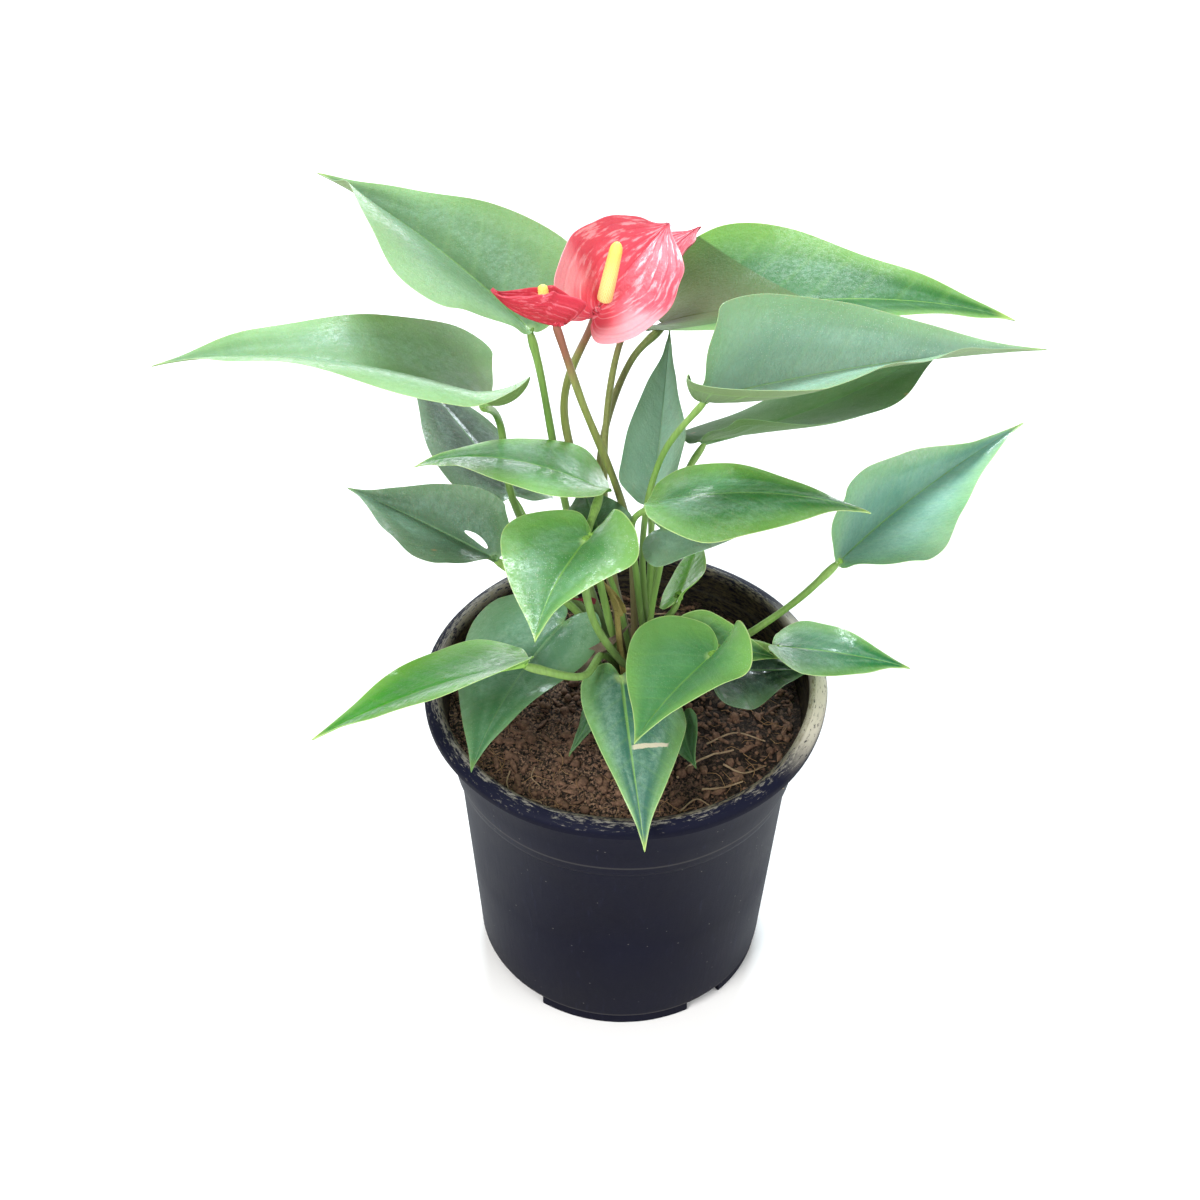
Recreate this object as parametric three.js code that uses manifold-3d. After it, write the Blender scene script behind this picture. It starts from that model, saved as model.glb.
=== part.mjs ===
// Potted anthurium: a nursery pot of potting mix that holds one clump of heart-shaped leaves on long
// petioles, with three flowers, each a coloured spathe round a finger-like spadix.
// Sizes are millimetres and angles are degrees. +Z is up, the pot's axis is the Z axis, its underside is
// at Z = 0, and the plant's front faces -Y.

import * as THREE from 'three';
import { mergeVertices } from 'three/addons/utils/BufferGeometryUtils.js';
import Module from 'manifold-3d';

const wasm = await Module();
wasm.setup();

// ---- Driving dimensions -------------------------------------------------------------------------------

const GAP = 0.3; // between pieces that touch on the real plant
const SAME_POINT = 1e-4; // vertices nearer than this are one

const POT = {
  height: 136,
  rimRadius: 75, // outer edge of the lip
  lipBottom: 130,
  lipEdgeTop: 133,
  mouthRadius: 68.6, // inner edge of the lip
  shoulderRadius: 70.2, // wall just under the lip
  stepHeight: 98, // small step below the shoulder
  stepRadius: 64,
  bodyTopRadius: 62.9,
  bodyBottomRadius: 56.2,
  wall: 2,
  footHeight: 5,
  footRadius: 55.4,
  footWidth: 3,
  floor: 2.5,
  padRadius: 12, // middle pad that reaches the ground
  sides: 40,
};

const FOOT_NOTCHES = [ // each cut in the foot ring: middle and width, as angles from the front
  { middle: 37, width: 17 },
  { middle: -56, width: 47 },
  { middle: 112, width: 17 },
  { middle: 180, width: 47 },
  { middle: -118, width: 17 },
];

const DRAIN = { count: 6, radius: 4.5, circle: 36, sides: 14 };

const MIX = {
  edgeHeight: 120, // where the mix meets the wall
  middleHeight: 126, // flat middle, under the crown
  middleRadius: 28,
};

const CROWN = { x: 5, middle: 124, radius: 20, rise: 26, rings: 6, sides: 20 };

const BLADE_THICKNESS = 0.8;
const BLADE_ROWS = 9; // cells from the base to the tip
const BLADE_COLUMNS = 3; // cells from the midrib to each edge
const MIDRIB_PACE = 1.6; // how soon the rows run ahead of the outline's own pace
const WIDEST = 0.345; // half-width of the plain heart, as a share of the length
const LOBE_REACH = 0.2; // how far the plain heart's lobes reach behind the joint, as a share of the length
const SHOULDER = [-0.05, 0.15]; // the shares of the length between which a lobe's scale sets in
const EAR = { start: 0.05, run: 0.17, most: 1.4 }; // shares of the length over which an ear turns up

// One half of a heart-shaped blade of length 1: along the midrib and away from it, from the base, where
// the petiole joins, round the lobe to the tip.
const HEART = [
  [0, 0], [-0.12, 0.03], [-0.2, 0.13], [-0.1, 0.27], [0.12, WIDEST],
  [0.38, 0.27], [0.64, 0.145], [0.84, 0.05], [1, 0],
];

const PETIOLE = { radius: 1.4, sides: 6, step: 8 };
const THIN_STEMS = {
  main: 1.5, cup: 1.4, rear: 1.3,
  unfolding: 1, small_front_right: 1, small_front_left: 1, small_centre: 1,
  behind_heart: 1.1, on_soil_right: 1.2,
};

// Every leaf: joint is where blade and petiole meet. heading, pitch and roll turn the blade there, and
// droop, sweep and twist are what each gains by the tip. width, fold, curl and lift have a value for the
// left half and one for the right: the half-width against the plain heart's, the angle of the half at the
// midrib, what that gains by the edge, and the rise of the lobe. lobe scales each lobe's length. Where they
// are given, ear and perk raise a lobe at its side and at its back, and lean narrows it towards the midrib.
// stem.root is the direction of the stem's foot on the crown, as heading and elevation, and stem.via are
// the two places it passes.
const LEAVES = {
  rear_left_high: {
    joint: [-36, 50, 259], heading: 130, pitch: 10, droop: -23, sweep: -1, roll: 8, twist: 5,
    length: 135, width: [1.1, 0.7], fold: [41, 38], curl: [-26, -3], lobe: [0.2, 0.2], lift: [6, 3],
    stem: { root: [144, 36], via: [[-21, 39, 176], [-33, 50, 243]] },
  },
  left_high: {
    joint: [-51, 15, 254], heading: 173, pitch: 21, droop: -49, sweep: -12, roll: 34, twist: -23,
    length: 126, width: [0.95, 1.2], fold: [23, 13], curl: [-45, 6], lobe: [0.45, 0.12], lift: [2, -3],
    ear: [30, 0],
    stem: { root: [139, 74], via: [[-41, 33, 190], [-47, 46, 219]] },
  },
  left_behind: {
    joint: [-44, 48, 186], heading: 123, pitch: 12, droop: -13, sweep: 0, roll: 25, twist: -3,
    length: 81, width: [1, 1], fold: [8, 1], curl: [-12, -28], lobe: [0.35, 0.35], lift: [0, 2],
    stem: { root: [130, 30], via: [[-26, 31, 161], [-37, 41, 175]] },
  },
  left_middle: {
    joint: [-10, 12, 218], heading: 163, pitch: 21, droop: -60, sweep: -6, roll: 34, twist: -30,
    length: 77, width: [1.15, 1.3], fold: [7, 3], curl: [-18, -1], lobe: [0.2, 0.2], lift: [14, -5],
    stem: { root: [-78, 74], via: [[-13, -20, 188], [-16, -11, 208]] },
  },
  left_low: {
    joint: [-48, 5, 191], heading: 137, pitch: -7, droop: -7, sweep: -1, roll: -9, twist: -7,
    length: 82, width: [1.05, 0.8], fold: [42, 46], curl: [-15, 27], lobe: [0.2, 0.2], lift: [7, 2],
    stem: { root: [124, 50], via: [[-21, 10, 164], [-36, 7, 179]] },
  },
  front_left_heart: {
    joint: [-15, -15, 218], heading: -119, pitch: 2, droop: 3, sweep: 25, roll: 28, twist: -10,
    length: 57, width: [1.25, 1.4], fold: [16, 36], curl: [-45, -7], lobe: [1.1, 0.95], lift: [11, -1],
    lean: [0.5, 0],
    stem: { root: [-150, 68], via: [[-5, -7, 165], [-11, -12, 200]] },
  },
  over_soil_left: {
    joint: [-23, 4, 161], heading: -126, pitch: -5, droop: 3, sweep: 25, roll: 5, twist: 8,
    length: 78, width: [0.65, 1.25], fold: [-2, 2], curl: [-26, -18], lobe: [0.6, 0.6], lift: [4, 3],
    stem: { root: [166, 34], via: [[-17, 4, 149], [-20, 4, 155]] },
  },
  lower_left: {
    joint: [-36, -42, 185], heading: -168, pitch: -4, droop: -19, sweep: 8, roll: 41, twist: -30,
    length: 78, width: [0.9, 1.3], fold: [14, 3], curl: [-27, 13], lobe: [0.2, 0.2], lift: [7, -5],
    stem: { root: [142, 46], via: [[-9, -12, 160], [-16, -31, 168]] },
  },
  front_over_rim: {
    joint: [-2, -22, 158], heading: -84, pitch: -3, droop: -31, sweep: 4, roll: -15, twist: 12,
    length: 68, width: [1.15, 0.65], fold: [0, 0], curl: [-31, -45], lobe: [0.5, 0.5], lift: [-5, -2],
    stem: { root: [-71, 47], via: [[5, -17, 148], [0, -20, 154]] },
  },
  front_heart: {
    joint: [30, -22, 170], heading: -130, pitch: 2, droop: 8, sweep: 21, roll: 35, twist: -19,
    length: 57, width: [1.25, 1.4], fold: [22, 39], curl: [-43, -2], lobe: [1.1, 0.95], lift: [15, 3],
    lean: [0.5, 0],
    stem: { root: [-158, 54], via: [[10, -16, 161], [20, -21, 166]] },
  },
  behind_heart: {
    joint: [23, -8, 164], heading: -3, pitch: -7, droop: -14, sweep: 5, roll: 13, twist: 4,
    length: 34, width: [1.05, 1], fold: [14, 10], curl: [3, 0], lobe: [1, 1], lift: [1, 2],
    stem: { root: [-13, 46], via: [[20, -4, 148], [21, -6, 155]] },
  },
  right_low: {
    joint: [55, 2, 152], heading: -7, pitch: 5, droop: -18, sweep: -2, roll: -30, twist: 30,
    length: 50, width: [1.4, 1.35], fold: [0, -5], curl: [11, -1], lobe: [0.2, 0.2], lift: [-5, 15],
    stem: { root: [73, 69], via: [[28, 6, 154], [42, 4, 153]] },
  },
  on_soil_right: {
    joint: [27, -5, 147], heading: 8, pitch: -10, droop: -4, sweep: 10, roll: 1, twist: 24,
    length: 46, width: [1, 1.4], fold: [12, 7], curl: [0, 4], lobe: [0.7, 0.7], lift: [2, 10],
    stem: { root: [-72, 9], via: [[17, -16, 134], [21, -11, 140]] },
  },
  right_long: {
    joint: [77, 18, 180], heading: 61, pitch: -13, droop: 12, sweep: -19, roll: 30, twist: 8,
    length: 134, width: [0.65, 0.75], fold: [50, 50], curl: [1, 7], lobe: [0.2, 0.2], lift: [10, 9],
    stem: { root: [33, 12], via: [[50, 14, 151], [64, 16, 164]] },
  },
  right_middle: {
    joint: [8, -20, 240], heading: 6, pitch: 13, droop: -39, sweep: -3, roll: -38, twist: 30,
    length: 76, width: [1.25, 1.3], fold: [-7, -5], curl: [31, -26], lobe: [0.2, 0.2], lift: [-5, 15],
    stem: { root: [3, 65], via: [[3, -1, 188], [1, -10, 223]] },
  },
  upright_young: {
    joint: [8, 16, 209], heading: 84, pitch: 11, droop: 8, sweep: 2, roll: -7, twist: 1,
    length: 79, width: [0.75, 0.75], fold: [47, 46], curl: [35, 24], lobe: [0.25, 0.25], lift: [4, 10],
    stem: { root: [15, 80], via: [[8, 9, 180], [8, 11, 190]] },
  },
  right_under: {
    joint: [13, -9, 219], heading: -11, pitch: 6, droop: 8, sweep: 25, roll: -16, twist: -30,
    length: 47, width: [1, 1.4], fold: [12, -10], curl: [0, 4], lobe: [0.75, 0.75], lift: [2, -5],
    stem: { root: [-33, 76], via: [[9, -4, 180], [11, -6, 198]] },
  },
  right_high: {
    joint: [25, 6, 264], heading: 42, pitch: -15, droop: 6, sweep: -25, roll: 26, twist: -22,
    length: 152, width: [0.65, 1.1], fold: [50, 50], curl: [24, 13], lobe: [0.12, 0.9], lift: [12, 4],
    perk: [0, 22], lean: [0, 0.92],
    stem: { root: [8, 54], via: [[5, 7, 201], [11, 9, 237]] },
  },
  rear_right_high: {
    joint: [12, 84, 238], heading: -5, pitch: 22, droop: -52, sweep: 25, roll: -21, twist: 23,
    length: 140, width: [1.25, 0.9], fold: [3, 9], curl: [17, 8], lobe: [0.2, 0.2], lift: [-1, 2],
    stem: { root: [129, 39], via: [[-11, 54, 193], [0, 77, 225]] },
  },
  right_shaded: {
    joint: [27, 40, 218], heading: 19, pitch: 1, droop: 8, sweep: 20, roll: -30, twist: 30,
    length: 108, width: [0.9, 1.25], fold: [0, 8], curl: [-10, 9], lobe: [0.2, 0.2], lift: [1, 11],
    stem: { root: [98, 60], via: [[12, 26, 183], [21, 36, 207]] },
  },
  unfolding: {
    joint: [19, 10, 170], heading: 71, pitch: 11, droop: -7, sweep: 7, roll: -38, twist: 1,
    length: 33, width: [1, 1], fold: [0, 11], curl: [-22, -6], lobe: [1, 1], lift: [2, 7],
    stem: { root: [74, 78], via: [[12, 6, 158], [17, 8, 164]] },
  },
  small_front_right: {
    joint: [21, -22, 136], heading: -84, pitch: -6, droop: 5, sweep: 11, roll: 25, twist: 5,
    length: 22, width: [0.95, 1.1], fold: [20, 9], curl: [11, -2], lobe: [1, 1], lift: [2, 2],
    stem: { root: [-99, 7], via: [[6, -21, 129], [11, -22, 131]] },
  },
  small_front_left: {
    joint: [-8, -16, 145], heading: -117, pitch: -20, droop: -15, sweep: -9, roll: 31, twist: -1,
    length: 27, width: [1.05, 0.95], fold: [5, -4], curl: [-4, -20], lobe: [1, 1], lift: [2, 2],
    stem: { root: [179, 16], via: [[-14, -4, 135], [-9, -12, 141]] },
  },
  small_centre: {
    joint: [-10, 0, 205], heading: 101, pitch: -2, droop: -18, sweep: 0, roll: -8, twist: -1,
    length: 40, width: [1, 0.95], fold: [12, 14], curl: [0, 3], lobe: [1, 1], lift: [2, 2],
    stem: { root: [170, 80], via: [[-3, 0, 174], [-8, 0, 193]] },
  },
};

// Every flower has the same dimensions as a leaf: its spathe is a broad heart. fullness rounds its outline
// on both sides of the tip.
const FLOWERS = {
  main: {
    joint: [-12, 40, 276], heading: 53, pitch: 24, droop: -38, sweep: 17, roll: 26, twist: -2,
    length: 53, width: [1.5, 1.5], fold: [16, 14], curl: [35, 35], lobe: [1.3, 1.3], lift: [13, 11],
    fullness: 0.02,
    stem: { root: [93, 43], via: [[-8, 32, 170], [-24, 50, 223]] },
  },
  cup: {
    joint: [-26, 10, 292], heading: 177, pitch: 5, droop: 50, sweep: 0, roll: 0, twist: 0,
    length: 25, width: [1.75, 1.5], fold: [60, 24], curl: [26, 20], lobe: [1.9, 1.5], lift: [0, 0],
    perk: [1.7, 0], fullness: 0.05,
    stem: { root: [114, 68], via: [[0, 20, 192], [-18, 16, 257]] },
  },
  rear: {
    joint: [4, 84, 252], heading: 59, pitch: 24, droop: -36, sweep: -1, roll: -16, twist: 5,
    length: 42, width: [1.4, 1.4], fold: [15, 20], curl: [0, 20], lobe: [1.4, 1.4], lift: [2, 2],
    stem: { root: [132, 59], via: [[-9, 42, 193], [-5, 72, 233]] },
  },
};

// rise is how far along its own axis a spadix stands off, to clear the two halves of its spathe.
const SPADICES = {
  main: { length: 24, radius: 2.7, heading: -10, pitch: 80, rise: 0.5 },
  cup: { length: 9, radius: 2, heading: 110, pitch: 68, rise: 2.2 },
  rear: { length: 20, radius: 2.4, heading: 60, pitch: 66, rise: 0 },
};
const SPADIX = { sides: 10, rings: 4, seat: 3.2 }; // seat: how far up the spathe from its joint it stands

// ---- Materials ----------------------------------------------------------------------------------------

const material = (color, roughness) => new THREE.MeshStandardMaterial({ color, roughness, metalness: 0 });
const FINISH = {
  pot: material(0x2a2a34, 0.45),
  mix: material(0x4a3628, 0.95),
  crown: material(0x6f6a3a, 0.8),
  blade: material(0x4f8f4a, 0.4),
  petiole: material(0x8aac5c, 0.5),
  spathe: material(0xd24a62, 0.25),
  spadix: material(0xf0e48c, 0.6),
  peduncle: material(0x7c6a4c, 0.5),
};

// ---- Small helpers ------------------------------------------------------------------------------------

const { clamp, lerp, smoothstep, degToRad: radians } = THREE.MathUtils;
const vector = (values) => new THREE.Vector3(...values);

function direction(heading, pitch) {
  const a = radians(heading);
  const p = radians(pitch);
  return new THREE.Vector3(Math.cos(p) * Math.cos(a), Math.cos(p) * Math.sin(a), Math.sin(p));
}

function named(name, geometry, finish) {
  const mesh = new THREE.Mesh(geometry, finish);
  mesh.name = name;
  return mesh;
}

// A body of revolution about +Z. The profile lists [radius, height] with the outside on its right.
function turned(profile, sides) {
  const points = profile.map(([r, z]) => new THREE.Vector2(r, z));
  return new THREE.LatheGeometry(points, sides).rotateX(Math.PI / 2);
}

function solid(geometry) {
  const bare = geometry.clone().deleteAttribute('normal').deleteAttribute('uv');
  const merged = mergeVertices(bare, SAME_POINT);
  return new wasm.Manifold(new wasm.Mesh({
    numProp: 3,
    vertProperties: merged.attributes.position.array,
    triVerts: new Uint32Array(merged.index.array),
  }));
}

function geometryOf(manifold) {
  const { vertProperties, triVerts, numProp } = manifold.getMesh();
  const positions = new Float32Array((vertProperties.length / numProp) * 3);
  for (let i = 0; i < positions.length / 3; i++) {
    for (let k = 0; k < 3; k++) positions[3 * i + k] = vertProperties[numProp * i + k];
  }
  const geometry = new THREE.BufferGeometry();
  geometry.setAttribute('position', new THREE.BufferAttribute(positions, 3));
  geometry.setIndex([...triVerts]);
  return geometry;
}

// ---- Pot ----------------------------------------------------------------------------------------------

function potProfile() {
  const floorTop = POT.footHeight + POT.floor;
  const lipRound = 1.4;
  return [
    [0, 0],
    [POT.padRadius, 0],
    [POT.padRadius + 1, POT.footHeight],
    [POT.footRadius - POT.footWidth, POT.footHeight],
    [POT.footRadius - POT.footWidth, 0],
    [POT.footRadius, 0],
    [POT.footRadius, POT.footHeight],
    [POT.bodyBottomRadius, POT.footHeight + 0.8],
    [POT.bodyTopRadius, POT.stepHeight - 0.6],
    [POT.stepRadius, POT.stepHeight + 0.6],
    [POT.shoulderRadius, POT.lipBottom - 1],
    [POT.rimRadius - 0.6, POT.lipBottom],
    [POT.rimRadius, POT.lipBottom + 0.6],
    [POT.rimRadius, POT.lipEdgeTop],
    [POT.rimRadius - lipRound, POT.lipEdgeTop + 1],
    [POT.mouthRadius + lipRound, POT.height],
    [POT.mouthRadius + 0.3, POT.height - 0.4],
    [POT.mouthRadius - 0.4, POT.height - 2],
    [POT.shoulderRadius - POT.wall, POT.lipBottom - 1],
    [POT.stepRadius - POT.wall, POT.stepHeight],
    [POT.bodyTopRadius - POT.wall, POT.stepHeight - 2],
    [POT.bodyBottomRadius - POT.wall, floorTop],
    [0, floorTop],
  ];
}

function notchCutter({ middle, width }) {
  const inner = POT.footRadius - POT.footWidth - 2;
  const outer = POT.footRadius + 4;
  const shape = new THREE.Shape();
  const from = radians(middle - width / 2 - 90);
  const to = radians(middle + width / 2 - 90);
  shape.absarc(0, 0, outer, from, to, false);
  shape.absarc(0, 0, inner, to, from, true);
  shape.closePath();
  const height = POT.footHeight + 1;
  return new THREE.ExtrudeGeometry(shape, { depth: height, bevelEnabled: false, curveSegments: 4 })
    .translate(0, 0, -1);
}

function drainCutter(index) {
  const angle = (index / DRAIN.count) * 2 * Math.PI + Math.PI / DRAIN.count;
  const depth = POT.floor + 4;
  const middle = POT.footHeight + POT.floor / 2;
  return new THREE.CylinderGeometry(DRAIN.radius, DRAIN.radius, depth, DRAIN.sides)
    .rotateX(Math.PI / 2)
    .translate(DRAIN.circle * Math.cos(angle), DRAIN.circle * Math.sin(angle), middle);
}

function pot() {
  let body = solid(turned(potProfile(), POT.sides));
  for (const notch of FOOT_NOTCHES) body = body.subtract(solid(notchCutter(notch)));
  for (let i = 0; i < DRAIN.count; i++) body = body.subtract(solid(drainCutter(i)));
  return named('pot', geometryOf(body), FINISH.pot);
}

// ---- Potting mix and crown ----------------------------------------------------------------------------

function pottingMix() {
  const bottom = POT.footHeight + POT.floor + GAP;
  const radiusAt = (z) => {
    const inside = POT.wall + GAP;
    if (z > POT.stepHeight) {
      const up = (z - POT.stepHeight) / (POT.lipBottom - 1 - POT.stepHeight);
      return POT.stepRadius + up * (POT.shoulderRadius - POT.stepRadius) - inside;
    }
    const up = (z - bottom) / (POT.stepHeight - 2 - bottom);
    return POT.bodyBottomRadius + up * (POT.bodyTopRadius - POT.bodyBottomRadius) - inside;
  };
  const profile = [
    [0, bottom],
    [radiusAt(bottom) - 0.3, bottom],
    [radiusAt(POT.stepHeight - 2.5), POT.stepHeight - 2.5],
    [radiusAt(POT.stepHeight + 0.5) - 0.2, POT.stepHeight + 0.5],
    [radiusAt(MIX.edgeHeight) - 0.2, MIX.edgeHeight],
    [MIX.middleRadius + 16, (MIX.edgeHeight + MIX.middleHeight) / 2 + 0.6],
    [MIX.middleRadius, MIX.middleHeight],
    [0, MIX.middleHeight],
  ];
  return named('potting_mix', turned(profile, POT.sides), FINISH.mix);
}

// The crown is a dome of stem bases that stands on the mix.
function crown() {
  const foot = MIX.middleHeight + GAP;
  const lowest = Math.asin((foot - CROWN.middle) / CROWN.rise);
  const profile = [[0, foot]];
  for (let i = 0; i < CROWN.rings; i++) {
    const angle = lowest + (i / CROWN.rings) * (Math.PI / 2 - lowest);
    profile.push([CROWN.radius * Math.cos(angle), CROWN.middle + CROWN.rise * Math.sin(angle)]);
  }
  profile.push([0, CROWN.middle + CROWN.rise]);
  const mesh = named('crown', turned(profile, CROWN.sides), FINISH.crown);
  mesh.position.x = CROWN.x;
  return mesh;
}

// ---- Blades -------------------------------------------------------------------------------------------

// A smooth curve through the heart's points, at step t of the way from the base to the tip.
function heartAt(t) {
  const last = HEART.length - 1;
  const place = Math.min(t * last, last - 1e-9);
  const i = Math.floor(place);
  const u = place - i;
  const mirrored = (a, b) => [2 * a[0] - b[0], 2 * a[1] - b[1]];
  const p0 = i > 0 ? HEART[i - 1] : mirrored(HEART[0], HEART[1]);
  const p1 = HEART[i];
  const p2 = HEART[i + 1];
  const p3 = i + 2 <= last ? HEART[i + 2] : mirrored(HEART[last], HEART[last - 1]);
  return [0, 1].map((k) => 0.5 * (2 * p1[k] + (p2[k] - p0[k]) * u
    + (2 * p0[k] - 5 * p1[k] + 4 * p2[k] - p3[k]) * u ** 2
    + (3 * p1[k] - p0[k] - 3 * p2[k] + p3[k]) * u ** 3));
}

// The edge of one half of the flat blade at step t: along the midrib and away from it, both as shares of
// the length.
function edgeAt(leaf, half, t) {
  const [x, y] = heartAt(t);
  const edge = x * lerp(leaf.lobe[half], 1, smoothstep(x, ...SHOULDER));
  const back = clamp(-x / LOBE_REACH, 0, 1) ** 1.5;
  const rounding = (leaf.fullness ?? 0) * Math.sin(Math.PI * clamp((edge - 0.3) / 0.7, 0, 1));
  return [edge, (y + rounding) * leaf.width[half] * (1 - (leaf.lean?.[half] ?? 0) * back)];
}

// The directions along the midrib, to the left and out of the upper face, at a share of the length.
function bladeFrame(leaf, share) {
  const heading = leaf.heading + leaf.sweep * share;
  const roll = radians(leaf.roll + leaf.twist * share);
  const along = direction(heading, leaf.pitch + leaf.droop * share);
  const level = direction(heading + 90, 0);
  const upright = along.clone().cross(level);
  const left = level.clone().multiplyScalar(Math.cos(roll)).addScaledVector(upright, Math.sin(roll));
  const up = upright.clone().multiplyScalar(Math.cos(roll)).addScaledVector(level, -Math.sin(roll));
  return { along, left, up };
}

// Where the midrib is at a share of the length, from short straight pieces.
function midribAt(leaf, share) {
  const pieces = 24;
  const place = vector(leaf.joint);
  for (let i = 0; i < pieces; i++) {
    const middle = ((i + 0.5) / pieces) * share;
    place.addScaledVector(bladeFrame(leaf, middle).along, (leaf.length * share) / pieces);
  }
  return place;
}

// Bends a point of the flat blade, x along the midrib and y to the left, to its place in the plant.
function bent(leaf, x, y) {
  const share = clamp(x / leaf.length, 0, 1);
  const { along, left, up } = bladeFrame(leaf, share);
  const half = y > 0 ? 0 : 1;
  const away = Math.abs(y) / (WIDEST * leaf.length);
  const rise = radians(leaf.fold[half] + (leaf.curl[half] * away) / 2);
  const behind = clamp((0.25 - x / leaf.length) / 0.45, 0, 1);
  const turned = clamp((EAR.start - x / leaf.length) / EAR.run, 0, EAR.most);
  const atSide = leaf.lift[half] * behind ** 2 + (leaf.ear?.[half] ?? 0) * turned ** 1.5;
  const atBack = (leaf.perk?.[half] ?? 0) * Math.max(-x / (EAR.run * leaf.length), 0) ** 1.5;
  return midribAt(leaf, share)
    .addScaledVector(along, Math.min(x, 0))
    .addScaledVector(left, y * Math.cos(rise))
    .addScaledVector(up, Math.abs(y) * Math.sin(rise) + atSide * away + atBack);
}

// The middle surface: a base point, rows of points from the right edge to the left one, and a tip point.
function bladePoints(leaf) {
  const points = [bent(leaf, 0, 0)];
  for (let row = 1; row < BLADE_ROWS; row++) {
    const t = row / BLADE_ROWS;
    const midribX = t ** MIDRIB_PACE;
    for (let column = -BLADE_COLUMNS; column <= BLADE_COLUMNS; column++) {
      const out = Math.abs(column) / BLADE_COLUMNS;
      const [x, y] = edgeAt(leaf, column > 0 ? 0 : 1, t).map((value) => value * leaf.length);
      points.push(bent(leaf, lerp(midribX * leaf.length, x, out), Math.sign(column) * y * out));
    }
  }
  points.push(bent(leaf, leaf.length, 0));
  return points;
}

function bladeFaces() {
  const across = 2 * BLADE_COLUMNS + 1;
  const at = (row, column) => 1 + (row - 1) * across + column;
  const tip = 1 + (BLADE_ROWS - 1) * across;
  const faces = [];
  for (let column = 0; column + 1 < across; column++) {
    faces.push([0, at(1, column), at(1, column + 1)]);
    for (let row = 1; row + 1 < BLADE_ROWS; row++) {
      faces.push([at(row, column), at(row + 1, column), at(row + 1, column + 1)]);
      faces.push([at(row, column), at(row + 1, column + 1), at(row, column + 1)]);
    }
    faces.push([at(BLADE_ROWS - 1, column), tip, at(BLADE_ROWS - 1, column + 1)]);
  }
  return faces;
}

// The edges that only one face uses, in the direction that the face runs along them.
function openEdges(faces) {
  const runs = new Map();
  for (const [a, b, c] of faces) {
    for (const [from, to] of [[a, b], [b, c], [c, a]]) runs.set(`${from},${to}`, [from, to]);
  }
  return [...runs.values()].filter(([from, to]) => !runs.has(`${to},${from}`));
}

function bladeGeometry(leaf) {
  const points = bladePoints(leaf);
  const faces = bladeFaces();
  const surface = new THREE.BufferGeometry().setFromPoints(points);
  surface.setIndex(faces.flat());
  surface.computeVertexNormals();
  const normals = surface.attributes.normal;
  const layer = (offset) => points.map((point, i) => (
    point.clone().addScaledVector(new THREE.Vector3().fromBufferAttribute(normals, i), offset)
  ));
  const under = points.length;
  const walls = openEdges(faces).flatMap(([a, b]) => [[b, a, a + under], [b, a + under, b + under]]);
  const lower = faces.map(([a, b, c]) => [a + under, c + under, b + under]);
  const geometry = new THREE.BufferGeometry();
  geometry.setFromPoints([...layer(BLADE_THICKNESS / 2), ...layer(-BLADE_THICKNESS / 2)]);
  geometry.setIndex([...faces, ...lower, ...walls].flat());
  return geometry;
}

// ---- Stems --------------------------------------------------------------------------------------------

// How far a round end stands off a surface with this normal, so that its rim keeps the gap.
function standOff(run, normal, radius) {
  const square = run.clone().normalize().dot(normal);
  return GAP + radius * Math.sqrt(Math.max(0, 1 - square ** 2));
}

function stemFoot([heading, elevation], toward, radius) {
  const out = direction(heading, elevation);
  const size = new THREE.Vector3(CROWN.radius, CROWN.radius, CROWN.rise);
  const foot = out.clone().multiply(size).add(new THREE.Vector3(CROWN.x, 0, CROWN.middle));
  const normal = out.divide(size).normalize();
  const run = toward.clone().sub(foot);
  return foot.addScaledVector(normal, standOff(run, normal, radius) + 0.1);
}

function stemGeometry(name, leaf) {
  const radius = THIN_STEMS[name] ?? PETIOLE.radius;
  const via = leaf.stem.via.map(vector);
  const joint = vector(leaf.joint);
  const { up } = bladeFrame(leaf, 0);
  const away = BLADE_THICKNESS / 2 + standOff(joint.clone().sub(via[1]), up, radius) + 0.05;
  const route = [stemFoot(leaf.stem.root, via[0], radius), ...via, joint.addScaledVector(up, -away)];
  const section = new THREE.Shape();
  for (let i = 0; i < PETIOLE.sides; i++) {
    const angle = (i / PETIOLE.sides) * 2 * Math.PI;
    const place = [radius * Math.cos(angle), radius * Math.sin(angle)];
    if (i === 0) section.moveTo(...place);
    else section.lineTo(...place);
  }
  section.closePath();
  const extrudePath = new THREE.CatmullRomCurve3(route);
  const steps = Math.max(4, Math.round(extrudePath.getLength() / PETIOLE.step));
  return new THREE.ExtrudeGeometry(section, { steps, extrudePath, bevelEnabled: false });
}

// ---- Spadix -------------------------------------------------------------------------------------------

function spadix(name) {
  const { length, radius, heading, pitch, rise } = SPADICES[name];
  const profile = [[0, 0], [radius * 0.9, 0]];
  for (let ring = 1; ring < SPADIX.rings; ring++) {
    const up = ring / SPADIX.rings;
    profile.push([radius * (1 - 0.25 * up ** 2), length * up]);
  }
  profile.push([radius * 0.45, length * 0.97], [0, length]);
  const flower = FLOWERS[name];
  const { along, up } = bladeFrame(flower, 0);
  const axis = direction(heading, pitch);
  const away = BLADE_THICKNESS / 2 + standOff(axis, up, radius) + GAP;
  const mesh = named(`spadix_${name}`, turned(profile, SPADIX.sides), FINISH.spadix);
  mesh.quaternion.setFromUnitVectors(new THREE.Vector3(0, 0, 1), axis);
  mesh.position.copy(vector(flower.joint));
  mesh.position.addScaledVector(along, SPADIX.seat).addScaledVector(up, away).addScaledVector(axis, rise);
  return mesh;
}

// ---- The plant ----------------------------------------------------------------------------------------

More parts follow.
